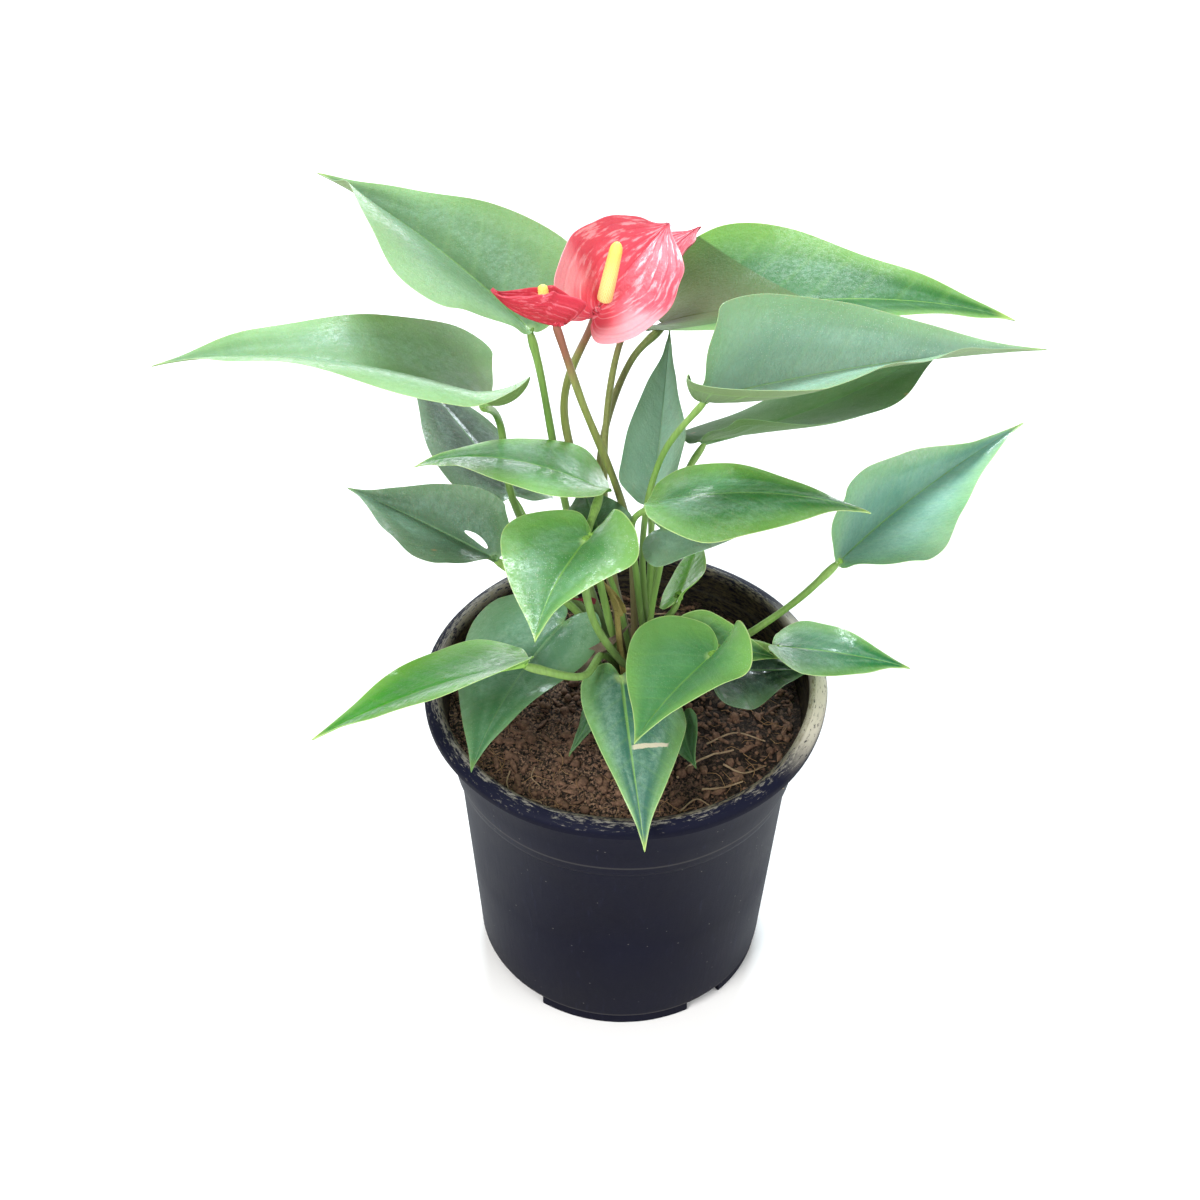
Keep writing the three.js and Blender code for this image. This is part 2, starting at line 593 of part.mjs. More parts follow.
const plant = new THREE.Group();
plant.add(pot(), pottingMix(), crown());
for (const [name, leaf] of Object.entries(LEAVES)) {
  plant.add(named(`blade_${name}`, bladeGeometry(leaf), FINISH.blade));
  plant.add(named(`petiole_${name}`, stemGeometry(name, leaf), FINISH.petiole));
}
for (const [name, flower] of Object.entries(FLOWERS)) {
  plant.add(named(`spathe_${name}`, bladeGeometry(flower), FINISH.spathe));
  plant.add(named(`peduncle_${name}`, stemGeometry(name, flower), FINISH.peduncle));
  plant.add(spadix(name));
}

export default plant;
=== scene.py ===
"""Potted anthurium: the looks of the plant and its nursery pot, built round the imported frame.

Shapes are given in millimetres and degrees and become metres when a mesh is made. +Z is up, the pot's axis
is the Z axis and the plant's front faces -Y, as in the frame.
"""

import logging
import math
import random
from dataclasses import dataclass, field, replace
from enum import Enum
from typing import Callable, Optional, Sequence, Union

import bmesh
import bpy
import numpy as np
from mathutils import Matrix, Vector, noise


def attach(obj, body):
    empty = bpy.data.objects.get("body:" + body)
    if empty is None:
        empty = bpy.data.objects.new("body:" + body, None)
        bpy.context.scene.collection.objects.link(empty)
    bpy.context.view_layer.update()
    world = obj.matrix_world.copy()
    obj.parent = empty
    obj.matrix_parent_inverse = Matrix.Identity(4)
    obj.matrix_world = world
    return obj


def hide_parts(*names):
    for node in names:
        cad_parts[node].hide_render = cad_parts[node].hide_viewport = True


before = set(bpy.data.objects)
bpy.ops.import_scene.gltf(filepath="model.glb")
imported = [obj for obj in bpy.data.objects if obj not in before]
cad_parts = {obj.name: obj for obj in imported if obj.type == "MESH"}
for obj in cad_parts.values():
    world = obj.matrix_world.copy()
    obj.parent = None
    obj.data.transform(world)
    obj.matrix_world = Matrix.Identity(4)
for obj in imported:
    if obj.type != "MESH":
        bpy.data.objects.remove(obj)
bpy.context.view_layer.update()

LOG = logging.getLogger("anthurium")
MM = 0.001
ROOT = "root"

Colour = tuple[float, float, float]
Point = tuple[float, float, float]
Pair = tuple[float, float]
Input = Union[float, Colour, bpy.types.NodeSocket]


# ---- Working with Blender's operators -------------------------------------------------------------------


def deselect_all() -> None:
    """Leaves no object selected, the frame's own nodes included."""
    bpy.ops.object.select_all(action="DESELECT")


def name_active(name: str) -> bpy.types.Object:
    """Names the object that an operator has just added.

    Args:
        name: The name of the piece and of its mesh.

    Returns:
        The active object.
    """
    piece = bpy.context.active_object
    piece.name = name
    piece.data.name = name
    return piece


def make_active(piece: bpy.types.Object) -> None:
    """Selects one piece alone and makes it active."""
    deselect_all()
    piece.select_set(True)
    bpy.context.view_layer.objects.active = piece


def edit(piece: bpy.types.Object, *steps: Callable[[], object], mode: str = "VERT") -> None:
    """Runs steps in edit mode on the whole piece.

    Args:
        piece: The mesh object to edit.
        steps: Calls of operators, run in order with everything selected at first.
        mode: The select mode, VERT, EDGE or FACE.
    """
    make_active(piece)
    bpy.ops.object.mode_set(mode="EDIT")
    bpy.ops.mesh.select_mode(type=mode)
    bpy.ops.mesh.select_all(action="SELECT")
    for step in steps:
        step()
    bpy.ops.object.mode_set(mode="OBJECT")


def finish_with(piece: bpy.types.Object, kind: str, **settings: object) -> None:
    """Adds a modifier and applies it.

    Args:
        piece: The piece that takes it.
        kind: The modifier's type, such as SOLIDIFY.
        settings: The modifier's properties.
    """
    make_active(piece)
    modifier = piece.modifiers.new(kind.lower(), kind)
    for key, value in settings.items():
        setattr(modifier, key, value)
    bpy.ops.object.modifier_apply(modifier=modifier.name)


def smooth(piece: bpy.types.Object, angle: float = 50.0) -> None:
    """Shades a piece smooth where its faces meet at less than an angle in degrees."""
    make_active(piece)
    bpy.ops.object.shade_smooth_by_angle(angle=math.radians(angle))


def mend(piece: bpy.types.Object) -> None:
    """Merges doubled vertices, drops faces with no area and turns all faces outward."""
    edit(
        piece,
        lambda: bpy.ops.mesh.remove_doubles(threshold=1e-6),
        lambda: bpy.ops.mesh.dissolve_degenerate(threshold=1e-6),
        lambda: bpy.ops.mesh.select_all(action="SELECT"),
        lambda: bpy.ops.mesh.normals_make_consistent(inside=False),
    )


def points_of(piece: bpy.types.Object) -> np.ndarray:
    """The piece's vertices as rows of x, y and z."""
    flat = np.empty(len(piece.data.vertices) * 3)
    piece.data.vertices.foreach_get("co", flat)
    return flat.reshape(-1, 3)


def move_points(piece: bpy.types.Object, places: np.ndarray) -> None:
    """Puts the piece's vertices at new places, in metres."""
    piece.data.vertices.foreach_set("co", np.ascontiguousarray(places, dtype=float).ravel())
    piece.data.update()


def paint(piece: bpy.types.Object, name: str, values: np.ndarray) -> None:
    """Stores one number for each vertex, for the piece's material to read.

    Args:
        piece: The piece to paint.
        name: The attribute's name.
        values: One number for each vertex.
    """
    layer = piece.data.attributes.new(name, "FLOAT", "POINT")
    layer.data.foreach_set("value", np.ascontiguousarray(values, dtype=np.float32).ravel())


def join(name: str, parts: Sequence[bpy.types.Object]) -> bpy.types.Object:
    """Joins small parts into one piece.

    Args:
        name: The joined piece's name.
        parts: The parts, of which the first keeps its materials' order.

    Returns:
        The joined piece.
    """
    deselect_all()
    for part in parts:
        part.select_set(True)
    bpy.context.view_layer.objects.active = parts[0]
    if len(parts) > 1:
        bpy.ops.object.join()
    return name_active(name)


def settle(piece: bpy.types.Object, slot: str, *nodes: str) -> bpy.types.Object:
    """Hands a finished piece to the frame.

    Args:
        piece: The piece, with its place in its mesh.
        slot: The record's material slot, which is only logged.
        nodes: The CAD nodes that it stands for.

    Returns:
        The same piece.
    """
    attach(piece, ROOT)
    if nodes:
        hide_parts(*nodes)
    LOG.info("%s: %d faces, slot %s", piece.name, len(piece.data.polygons), slot)
    return piece


# ---- Node trees -----------------------------------------------------------------------------------------


class Graph:
    """A node tree with short calls to add nodes and join their sockets."""

    def __init__(self, tree: bpy.types.NodeTree, material: Optional[bpy.types.Material] = None) -> None:
        """Keeps the tree that the calls work on, and the material that it belongs to."""
        self.tree = tree
        self.material = material

    def node(self, kind: str, **settings: object) -> bpy.types.Node:
        """Adds a node.

        Args:
            kind: The node's type without its Shader or Node words, such as "ShaderNodeMath".
            settings: The node's own properties.

        Returns:
            The new node.
        """
        made = self.tree.nodes.new(kind)
        for key, value in settings.items():
            setattr(made, key, value)
        return made

    def feed(self, socket: bpy.types.NodeSocket, value: Optional[Input]) -> None:
        """Joins another node's output to a socket, or sets the socket to a plain value."""
        if value is None:
            return
        if isinstance(value, bpy.types.NodeSocket):
            self.tree.links.new(value, socket)
        elif isinstance(value, tuple) and socket.type == "RGBA":
            socket.default_value = (*value, 1.0)
        else:
            socket.default_value = value

    def math(self, operation: str, first: Input, second: Input = 0.0) -> Input:
        """Adds a Math node.

        Args:
            operation: The operation's name, such as MULTIPLY.
            first: The first number or socket.
            second: The second number or socket.

        Returns:
            The result's socket.
        """
        made = self.node("ShaderNodeMath", operation=operation)
        self.feed(made.inputs[0], first)
        self.feed(made.inputs[1], second)
        return made.outputs[0]

    def plus(self, first: Input, second: Input) -> Input:
        """Adds two numbers."""
        return self.math("ADD", first, second)

    def minus(self, first: Input, second: Input) -> Input:
        """Takes the second number from the first."""
        return self.math("SUBTRACT", first, second)

    def times(self, first: Input, second: Input) -> Input:
        """Multiplies two numbers."""
        return self.math("MULTIPLY", first, second)

    def fade(self, value: Input, start: Input, end: Input, low: Input = 0.0, high: Input = 1.0) -> Input:
        """Runs smoothly from low to high as a value goes from start to end, which may be lower."""
        made = self.node("ShaderNodeMapRange", interpolation_type="SMOOTHSTEP")
        for socket, number in zip(made.inputs, (value, start, end, low, high)):
            self.feed(socket, number)
        return made.outputs[0]

    def mix(self, share: Input, first: Input, second: Input) -> Input:
        """Mixes two colours.

        Args:
            share: How much of the second shows.
            first: The colour below.
            second: The colour on top.

        Returns:
            The mixed colour's socket.
        """
        made = self.node("ShaderNodeMix", data_type="RGBA", blend_type="MIX")
        self.feed(made.inputs["Factor"], share)
        self.feed(made.inputs[6], first)
        self.feed(made.inputs[7], second)
        return made.outputs[2]

    def attribute(self, name: str) -> Input:
        """Reads a number that a piece's mesh holds."""
        return self.node("ShaderNodeAttribute", attribute_name=name).outputs["Fac"]

    def place(self) -> Input:
        """The point's place on the piece, in metres."""
        return self.node("ShaderNodeTexCoord").outputs["Object"]

    def stretch(self, vector: Input, scale: Point) -> Input:
        """Scales a vector by a number for each axis."""
        made = self.node("ShaderNodeMapping")
        self.feed(made.inputs["Vector"], vector)
        made.inputs["Scale"].default_value = scale
        return made.outputs[0]

    def parts(self, vector: Input) -> tuple[Input, Input, Input]:
        """Splits a vector into its x, y and z."""
        made = self.node("ShaderNodeSeparateXYZ")
        self.feed(made.inputs[0], vector)
        return tuple(made.outputs)

    def join(self, x: Input, y: Input, z: Input = 0.0) -> Input:
        """Makes a vector of three numbers."""
        made = self.node("ShaderNodeCombineXYZ")
        for socket, number in zip(made.inputs, (x, y, z)):
            self.feed(socket, number)
        return made.outputs[0]

    def noise(self, vector: Input, scale: float, detail: float = 3.0, rough: float = 0.55) -> Input:
        """Soft noise from 0 to 1.

        Args:
            vector: Where the noise is read.
            scale: Its lumps for each unit of the vector.
            detail: The number of finer layers.
            rough: How strong each finer layer is.

        Returns:
            The noise's socket.
        """
        made = self.node("ShaderNodeTexNoise")
        self.feed(made.inputs["Vector"], vector)
        made.inputs["Scale"].default_value = scale
        made.inputs["Detail"].default_value = detail
        made.inputs["Roughness"].default_value = rough
        return made.outputs[0]

    def cells(self, vector: Input, scale: float, feature: str = "F1") -> Input:
        """Reads a Voronoi texture.

        Args:
            vector: Where it is read.
            scale: Cells for each unit of the vector.
            feature: F1 or DISTANCE_TO_EDGE.

        Returns:
            The distance's socket.
        """
        made = self.node("ShaderNodeTexVoronoi", feature=feature)
        self.feed(made.inputs["Vector"], vector)
        made.inputs["Scale"].default_value = scale
        return made.outputs["Distance"]

    def bump(
        self, height: Input, depth: float, strength: float = 1.0, below: Optional[Input] = None
    ) -> Input:
        """Turns a height into a normal.

        Args:
            height: The height, from 0 to 1.
            depth: What a height of 1 stands for, in millimetres.
            strength: How much of it shows.
            below: A normal that it adds to.

        Returns:
            The normal's socket.
        """
        made = self.node("ShaderNodeBump")
        made.inputs["Strength"].default_value = strength
        made.inputs["Distance"].default_value = depth * MM
        self.feed(made.inputs["Height"], height)
        self.feed(made.inputs["Normal"], below)
        return made.outputs[0]


def group(
    name: str, inputs: dict[str, float], outputs: dict[str, str]
) -> tuple[Graph, bpy.types.Node, bpy.types.Node]:
    """Starts a shader node group.

    Args:
        name: The group's name.
        inputs: Each input's name and default number.
        outputs: Each output's name and socket type.

    Returns:
        The group's graph, its input node and its output node.
    """
    tree = bpy.data.node_groups.new(name, "ShaderNodeTree")
    for key, value in inputs.items():
        tree.interface.new_socket(key, in_out="INPUT", socket_type="NodeSocketFloat").default_value = value
    for key, kind in outputs.items():
        tree.interface.new_socket(key, in_out="OUTPUT", socket_type=kind)
    graph = Graph(tree)
    return graph, graph.node("NodeGroupInput"), graph.node("NodeGroupOutput")


def use_group(graph: Graph, name: str, **values: Input) -> bpy.types.Node:
    """Places a node group in a graph.

    Args:
        graph: The graph that takes it.
        name: The group's name.
        values: Numbers or sockets for its inputs, with _ for each space in a name.

    Returns:
        The group's node.
    """
    made = graph.node("ShaderNodeGroup", node_tree=bpy.data.node_groups[name])
    for key, value in values.items():
        graph.feed(made.inputs[key.replace("_", " ")], value)
    return made


@dataclass(frozen=True)
class Coat:
    """What a Principled shader has the same all over."""

    sheen: float = 0.0
    sheen_tint: Colour = (1.0, 1.0, 1.0)
    clear: float = 0.0
    clear_roughness: float = 0.1
    specular: float = 0.5
    glow_depth: float = 0.0
    glow: float = 0.0


def new_material(name: str, coat: Coat) -> tuple[Graph, bpy.types.Node]:
    """Starts a material with one Principled shader.

    Args:
        name: The material's name.
        coat: The values that are the same all over.

    Returns:
        The material's graph and its shader node.
    """
    material = bpy.data.materials.new(name)
    material.use_nodes = True
    shader = material.node_tree.nodes["Principled BSDF"]
    shader.inputs["Sheen Weight"].default_value = coat.sheen
    shader.inputs["Sheen Tint"].default_value = (*coat.sheen_tint, 1.0)
    shader.inputs["Coat Weight"].default_value = coat.clear
    shader.inputs["Coat Roughness"].default_value = coat.clear_roughness
    shader.inputs["Specular IOR Level"].default_value = coat.specular
    shader.inputs["Subsurface Weight"].default_value = coat.glow
    shader.inputs["Subsurface Scale"].default_value = coat.glow_depth * MM
    return Graph(material.node_tree, material), shader


# ---- Finishes -------------------------------------------------------------------------------------------


def tone(red: int, green: int, blue: int) -> Colour:
    """A colour as a picture shows it, from 0 to 255, as the linear colour that a shader takes."""
    return tuple(
        ((c / 255 + 0.055) / 1.055) ** 2.4 if c > 10 else c / 255 / 12.92 for c in (red, green, blue)
    )


def build_vein_group() -> None:
    """Makes the group of masks that every blade uses: its side veins, midrib, margin and fine net."""
    graph, given, made = group(
        "Blade veins",
        {"Vein width": 0.09, "Midrib width": 1.0, "Margin width": 0.5},
        {"Side": "NodeSocketFloat", "Midrib": "NodeSocketFloat", "Margin": "NodeSocketFloat",
         "Net": "NodeSocketFloat", "Height": "NodeSocketFloat"},
    )
    phase = graph.attribute("vein")
    across = graph.attribute("across")
    away = graph.math("ABSOLUTE", across)
    wrapped = graph.math("FRACT", graph.plus(phase, 0.5))
    off_vein = graph.math("ABSOLUTE", graph.minus(wrapped, 0.5))
    side = graph.fade(off_vein, 0.0, given.outputs["Vein width"], 1.0, 0.0)
    halved = graph.math("FRACT", graph.plus(graph.times(phase, 3.0), 0.5))
    off_small = graph.math("ABSOLUTE", graph.minus(halved, 0.5))
    small = graph.times(graph.fade(off_small, 0.0, 0.12, 1.0, 0.0), 0.35)
    laterals = graph.math("MAXIMUM", side, small)
    laterals = graph.times(laterals, graph.fade(away, 0.86, 0.97, 1.0, 0.0))
    collective = graph.fade(graph.math("ABSOLUTE", graph.minus(away, 0.9)), 0.0, 0.022, 0.6, 0.0)
    laterals = graph.math("MAXIMUM", laterals, collective)
    taper = graph.minus(1.1, graph.attribute("along"))
    width = graph.times(given.outputs["Midrib width"], taper)
    midrib = graph.fade(graph.attribute("rib"), graph.times(width, 0.45), width, 1.0, 0.0)
    margin = graph.fade(graph.attribute("edge"), 0.0, given.outputs["Margin width"], 1.0, 0.0)
    net = graph.fade(graph.cells(graph.place(), 620.0, "DISTANCE_TO_EDGE"), 0.0, 0.12, 1.0, 0.0)
    height = graph.plus(graph.times(laterals, 0.55), graph.times(net, 0.16))
    height = graph.plus(height, midrib)
    for name, value in (("Side", laterals), ("Midrib", midrib), ("Margin", margin), ("Net", net),
                        ("Height", height)):
        graph.feed(made.inputs[name], value)


def build_speck_group() -> None:
    """Makes the group that scatters small soft specks, such as dust, scars and worn spots."""
    graph, given, made = group(
        "Specks",
        {"Scale": 300.0, "Size": 0.25, "Share": 0.4},
        {"Mask": "NodeSocketFloat"},
    )
    where = graph.place()
    near = graph.node("ShaderNodeTexVoronoi", feature="F1")
    graph.feed(near.inputs["Vector"], where)
    graph.feed(near.inputs["Scale"], given.outputs["Scale"])
    dot = graph.fade(near.outputs["Distance"], given.outputs["Size"],
                     graph.times(given.outputs["Size"], 0.4), 0.0, 1.0)
    chance = graph.parts(near.outputs["Color"])[0]
    picked = graph.math("LESS_THAN", chance, given.outputs["Share"])
    graph.feed(made.inputs["Mask"], graph.times(dot, picked))


def build_cloud_group() -> None:
    """Makes the group of soft blotches in two sizes, with a sharper version of their sum."""
    graph, given, made = group(
        "Clouds",
        {"Size": 20.0, "Contrast": 0.5},
        {"Soft": "NodeSocketFloat", "Sharp": "NodeSocketFloat"},
    )
    scale = graph.math("DIVIDE", 1.0 / MM, given.outputs["Size"])
    made_noise = graph.node("ShaderNodeTexNoise")
    graph.feed(made_noise.inputs["Vector"], graph.place())
    graph.feed(made_noise.inputs["Scale"], scale)
    made_noise.inputs["Detail"].default_value = 5.0
    soft = made_noise.outputs[0]
    half = graph.times(given.outputs["Contrast"], 0.25)
    low = graph.minus(0.5, half)
    high = graph.plus(0.5, half)
    graph.feed(made.inputs["Soft"], soft)
    graph.feed(made.inputs["Sharp"], graph.fade(soft, low, high))


@dataclass(frozen=True)
class BladeFinish:
    """The finish of one leaf's two faces."""

    name: str
    colour: Colour = tone(62, 128, 52)
    shade: Colour = tone(44, 104, 42)
    vein: Colour = tone(120, 172, 84)
    margin: Colour = tone(190, 214, 130)
    tip: Colour = tone(160, 190, 70)
    under: Colour = tone(120, 158, 82)
    roughness: float = 0.42
    vein_show: float = 0.07
    margin_show: float = 0.4
    dust: float = 0.15
    blemish: float = 0.0
    clear: float = 0.5
    # How far along the blade the painted, shaded under-face colour reaches where a lobe turns over.
    turned: float = 0.0
    scar: tuple[float, float] = (0.0, 0.0)
    # Painted sheen: how strong the patches of pale bluish colour are that stand in for the gloss's
    # reflection.
    painted_sheen: float = 0.3
    painted_sheen_tone: Colour = tone(172, 208, 190)

    def tinted(self, name: str, tint_and_light: Colour, **changes: object) -> "BladeFinish":
        """A version for one leaf.

        Args:
            name: The leaf's name.
            tint_and_light: What the red, green and blue of its greens are multiplied by, which paints in the
                light and shade on the leaf as well as its own tone.
            changes: Other values that this leaf has for itself.

        Returns:
            The leaf's own finish.
        """
        greens = {
            part: tuple(a * b for a, b in zip(getattr(self, part), tint_and_light)) for part in ("colour", "shade")
        }
        return replace(self, name=name, **greens, **changes)

    def top(self) -> bpy.types.Material:
        """The upper face: green clouds, painted patches of pale bluish sheen, paler veins, a pale margin
        line, a yellowing tip and a soft gloss.
        """
        coat = Coat(clear=self.clear, clear_roughness=0.18, specular=0.2, glow=0.12, glow_depth=1.5)
        graph, shader = new_material(f"{self.name}_upper", coat)
        veins = use_group(graph, "Blade veins", Vein_width=0.16, Midrib_width=0.9, Margin_width=0.6)
        clouds = use_group(graph, "Clouds", Size=22.0, Contrast=2.4)
        mottle = use_group(graph, "Clouds", Size=2.2, Contrast=2.4)
        colour = graph.mix(clouds.outputs["Sharp"], self.colour, self.shade)
        colour = graph.mix(graph.times(mottle.outputs["Sharp"], 0.3), colour, self.shade)
        away = graph.math("ABSOLUTE", graph.attribute("across"))
        # Painted sheen: soft patches of pale bluish colour where the gloss would reflect a bright sky.
        fan = graph.join(graph.attribute("across"), graph.times(graph.attribute("along"), 1.6), 0.0)
        wide = graph.noise(graph.stretch(fan, (2.2, 1.1, 1.0)), 1.0, 2.0, 0.5)
        fine = graph.noise(graph.place(), 380.0, 6.0, 0.8)
        painted_sheen_mask = graph.times(
            graph.fade(wide, 0.38, 0.62), graph.fade(fine, 0.3, 0.7, 0.1 * self.painted_sheen, 0.8 * self.painted_sheen)
        )
        colour = graph.mix(painted_sheen_mask, colour, self.painted_sheen_tone)
        colour = graph.mix(graph.fade(away, 0.4, 1.0, 0.0, 0.4), colour, self.vein)
        side = graph.times(veins.outputs["Side"], self.vein_show)
        colour = graph.mix(side, colour, self.vein)
        colour = graph.mix(graph.times(veins.outputs["Midrib"], 0.45), colour, self.vein)
        hub = graph.fade(graph.attribute("hub"), 3.6, 1.0)
        colour = graph.mix(graph.times(hub, 0.6), colour, self.margin)
        tip = graph.fade(graph.attribute("along"), 0.9, 1.0)
        colour = graph.mix(graph.times(tip, 0.8), colour, self.tip)
        line = graph.times(veins.outputs["Margin"], self.margin_show)
        colour = graph.mix(line, colour, self.margin)
        grime = use_group(graph, "Specks", Scale=1500.0, Size=0.36, Share=0.4)
        patchy = graph.times(graph.fade(clouds.outputs["Soft"], 0.45, 0.6), self.dust)
        colour = graph.mix(graph.times(grime.outputs["Mask"], patchy), colour, tone(214, 226, 214))
        if self.blemish:
            specks = use_group(graph, "Specks", Scale=130.0, Size=0.2, Share=0.14 * self.blemish)
            colour = graph.mix(graph.times(specks.outputs["Mask"], 0.75), colour, tone(176, 150, 110))
        if any(self.scar):
            off = graph.minus(graph.attribute("across"), self.scar[1])
            bent = graph.plus(graph.attribute("along"), graph.times(off, 0.05))
            off_line = graph.math("ABSOLUTE", graph.minus(bent, self.scar[0]))
            ragged = graph.times(graph.noise(graph.place(), 500.0, 3.0), 0.024)
            line = graph.fade(graph.minus(off_line, ragged), 0.004, -0.002)
            line = graph.times(line, graph.fade(graph.math("ABSOLUTE", off), 0.36, 0.3))
            colour = graph.mix(line, colour, tone(206, 196, 176))
        # Painted shade: where the lobe turns over, the upper face takes the under face's colour as it shows
        # in shade, a little lighter at the fold.
        if self.turned:
            limit = graph.times(graph.minus(1.5, graph.times(away, 1.2)), self.turned)
            before = graph.minus(limit, graph.attribute("along"))
            turned_shaded_under = graph.mix(graph.fade(before, 0.2, 0.0, 0.0, 0.4), self.under, self.colour)
            colour = graph.mix(graph.fade(before, 0.0, 0.01), colour, turned_shaded_under)
        graph.feed(shader.inputs["Base Color"], colour)
        rough = graph.plus(self.roughness - 0.1, graph.times(mottle.outputs["Sharp"], 0.14))
        rough = graph.plus(rough, graph.times(clouds.outputs["Soft"], 0.12))
        graph.feed(shader.inputs["Roughness"], rough)
        patches = graph.fade(
            graph.noise(graph.place(), 520.0, 6.0, 0.8), 0.4, 0.62, 0.1 * self.clear, 1.6 * self.clear
        )
        graph.feed(shader.inputs["Coat Weight"], patches)
        grain = graph.bump(graph.noise(graph.place(), 420.0, 5.0, 0.7), 0.8, 0.6)
        sunk = graph.times(veins.outputs["Height"], -1.0)
        graph.feed(shader.inputs["Normal"], graph.bump(sunk, 0.12, 0.6, grain))
        return graph.material

    def bottom(self) -> bpy.types.Material:
        """The under face: paler, duller and with raised veins."""
        graph, shader = new_material(f"{self.name}_under", Coat(specular=0.2))
        veins = use_group(graph, "Blade veins", Vein_width=0.1, Midrib_width=1.3, Margin_width=0.6)
        clouds = use_group(graph, "Clouds", Size=18.0, Contrast=1.2)
        colour = graph.mix(graph.times(clouds.outputs["Soft"], 0.5), self.under, self.colour)
        colour = graph.mix(graph.times(veins.outputs["Side"], 0.5), colour, self.vein)
        colour = graph.mix(graph.times(veins.outputs["Midrib"], 0.8), colour, self.vein)
        graph.feed(shader.inputs["Base Color"], colour)
        graph.feed(shader.inputs["Roughness"], graph.plus(0.5, graph.times(clouds.outputs["Soft"], 0.15)))
        graph.feed(shader.inputs["Normal"], graph.bump(veins.outputs["Height"], 0.5, 0.9))
        return graph.material


class LeafAge(Enum):
    """How old a leaf looks, which sets its finish."""

    FRESH = BladeFinish(
        "fresh", colour=tone(88, 154, 80), shade=tone(54, 122, 58), vein=tone(150, 200, 92),
        margin=tone(196, 224, 150), tip=tone(176, 204, 96), under=tone(134, 174, 96), roughness=0.34,
        margin_show=0.6,
    )
    BROAD = BladeFinish(
        "broad", colour=tone(94, 142, 92), shade=tone(68, 116, 74), vein=tone(146, 190, 112),
        margin=tone(176, 208, 146), tip=tone(160, 190, 100), under=tone(112, 132, 70), roughness=0.42,
        margin_show=0.4,
    )
    DARK = BladeFinish(
        "dark", colour=tone(72, 116, 74), shade=tone(54, 96, 58), vein=tone(116, 154, 106),
        margin=tone(130, 168, 116), tip=tone(120, 150, 80), under=tone(104, 136, 78), roughness=0.4,
        margin_show=0.3, blemish=0.5,
    )


@dataclass(frozen=True)
class SpatheFinish:
    """The waxy, veined finish of a spathe."""

    name: str
    colour: Colour
    deep: Colour
    pale: Colour
    clear: float = 0.25
    pale_lobes: float = 0.0

    def make(self) -> bpy.types.Material:
        """Pink or red with pale streaks along the veins, under a clear gloss over a puffed surface."""
        coat = Coat(clear=self.clear, clear_roughness=0.2, specular=0.3, glow=0.1, glow_depth=1.2)
        graph, shader = new_material(self.name, coat)
        veins = use_group(graph, "Blade veins", Vein_width=0.16, Midrib_width=0.8, Margin_width=0.6)
        clouds = use_group(graph, "Clouds", Size=16.0, Contrast=2.0)
        fine = use_group(graph, "Clouds", Size=1.3, Contrast=2.0)
        along = graph.attribute("along")
        fan = graph.join(graph.attribute("across"), graph.times(along, 1.1), 0.0)
        streaks = graph.noise(graph.stretch(fan, (11.0, 5.0, 1.0)), 1.0, 4.0, 0.6)
        colour = graph.mix(graph.times(clouds.outputs["Sharp"], 0.3), self.colour, self.deep)
        colour = graph.mix(graph.fade(streaks, 0.5, 0.64, 0.0, 0.85), colour, self.pale)
        lobes = graph.times(graph.fade(along, 0.16, 0.0), graph.fade(graph.attribute("hub"), 6.0, 14.0))
        colour = graph.mix(graph.times(lobes, self.pale_lobes), colour, self.pale)
        colour = graph.mix(graph.times(fine.outputs["Soft"], 0.25), colour, self.deep)
        colour = graph.mix(graph.times(veins.outputs["Side"], 0.2), colour, self.deep)
        colour = graph.mix(graph.times(veins.outputs["Margin"], 0.35), colour, self.pale)
        graph.feed(shader.inputs["Base Color"], colour)
        rough = graph.plus(0.36, graph.times(fine.outputs["Soft"], 0.22))
        graph.feed(shader.inputs["Roughness"], rough)
        shine = graph.fade(streaks, 0.5, 0.66, 0.1 * self.clear, 2.4 * self.clear)
        graph.feed(shader.inputs["Coat Weight"], shine)
        sunk = graph.times(veins.outputs["Height"], -1.0)
        puff = graph.bump(graph.noise(graph.place(), 260.0, 3.0), 0.6, 0.7)
        graph.feed(shader.inputs["Normal"], graph.bump(sunk, 0.2, 0.7, puff))
        return graph.material


@dataclass(frozen=True)
class StemFinish:
    """The finish of a petiole or peduncle, from its foot to its top."""

    name: str
    foot: Colour
    middle: Colour
    top: Colour
    roughness: float = 0.42

    def make(self) -> bpy.types.Material:
        """Three colours along the stem, with long soft streaks and a swollen, paler top."""
        graph, shader = new_material(self.name, Coat(specular=0.45, clear=0.05, clear_roughness=0.3))
        along = graph.attribute("along")
        streaks = graph.noise(graph.stretch(graph.place(), (900.0, 900.0, 60.0)), 1.0, 3.0)
        colour = graph.mix(graph.fade(along, 0.05, 0.6), self.foot, self.middle)
        colour = graph.mix(graph.fade(along, 0.8, 0.93), colour, self.top)
        colour = graph.mix(graph.fade(streaks, 0.35, 0.7, 0.0, 0.35), colour, self.foot)
        graph.feed(shader.inputs["Base Color"], colour)
        graph.feed(shader.inputs["Roughness"], graph.plus(self.roughness, graph.times(streaks, 0.15)))
        graph.feed(shader.inputs["Normal"], graph.bump(streaks, 0.25, 0.5))
        return graph.material


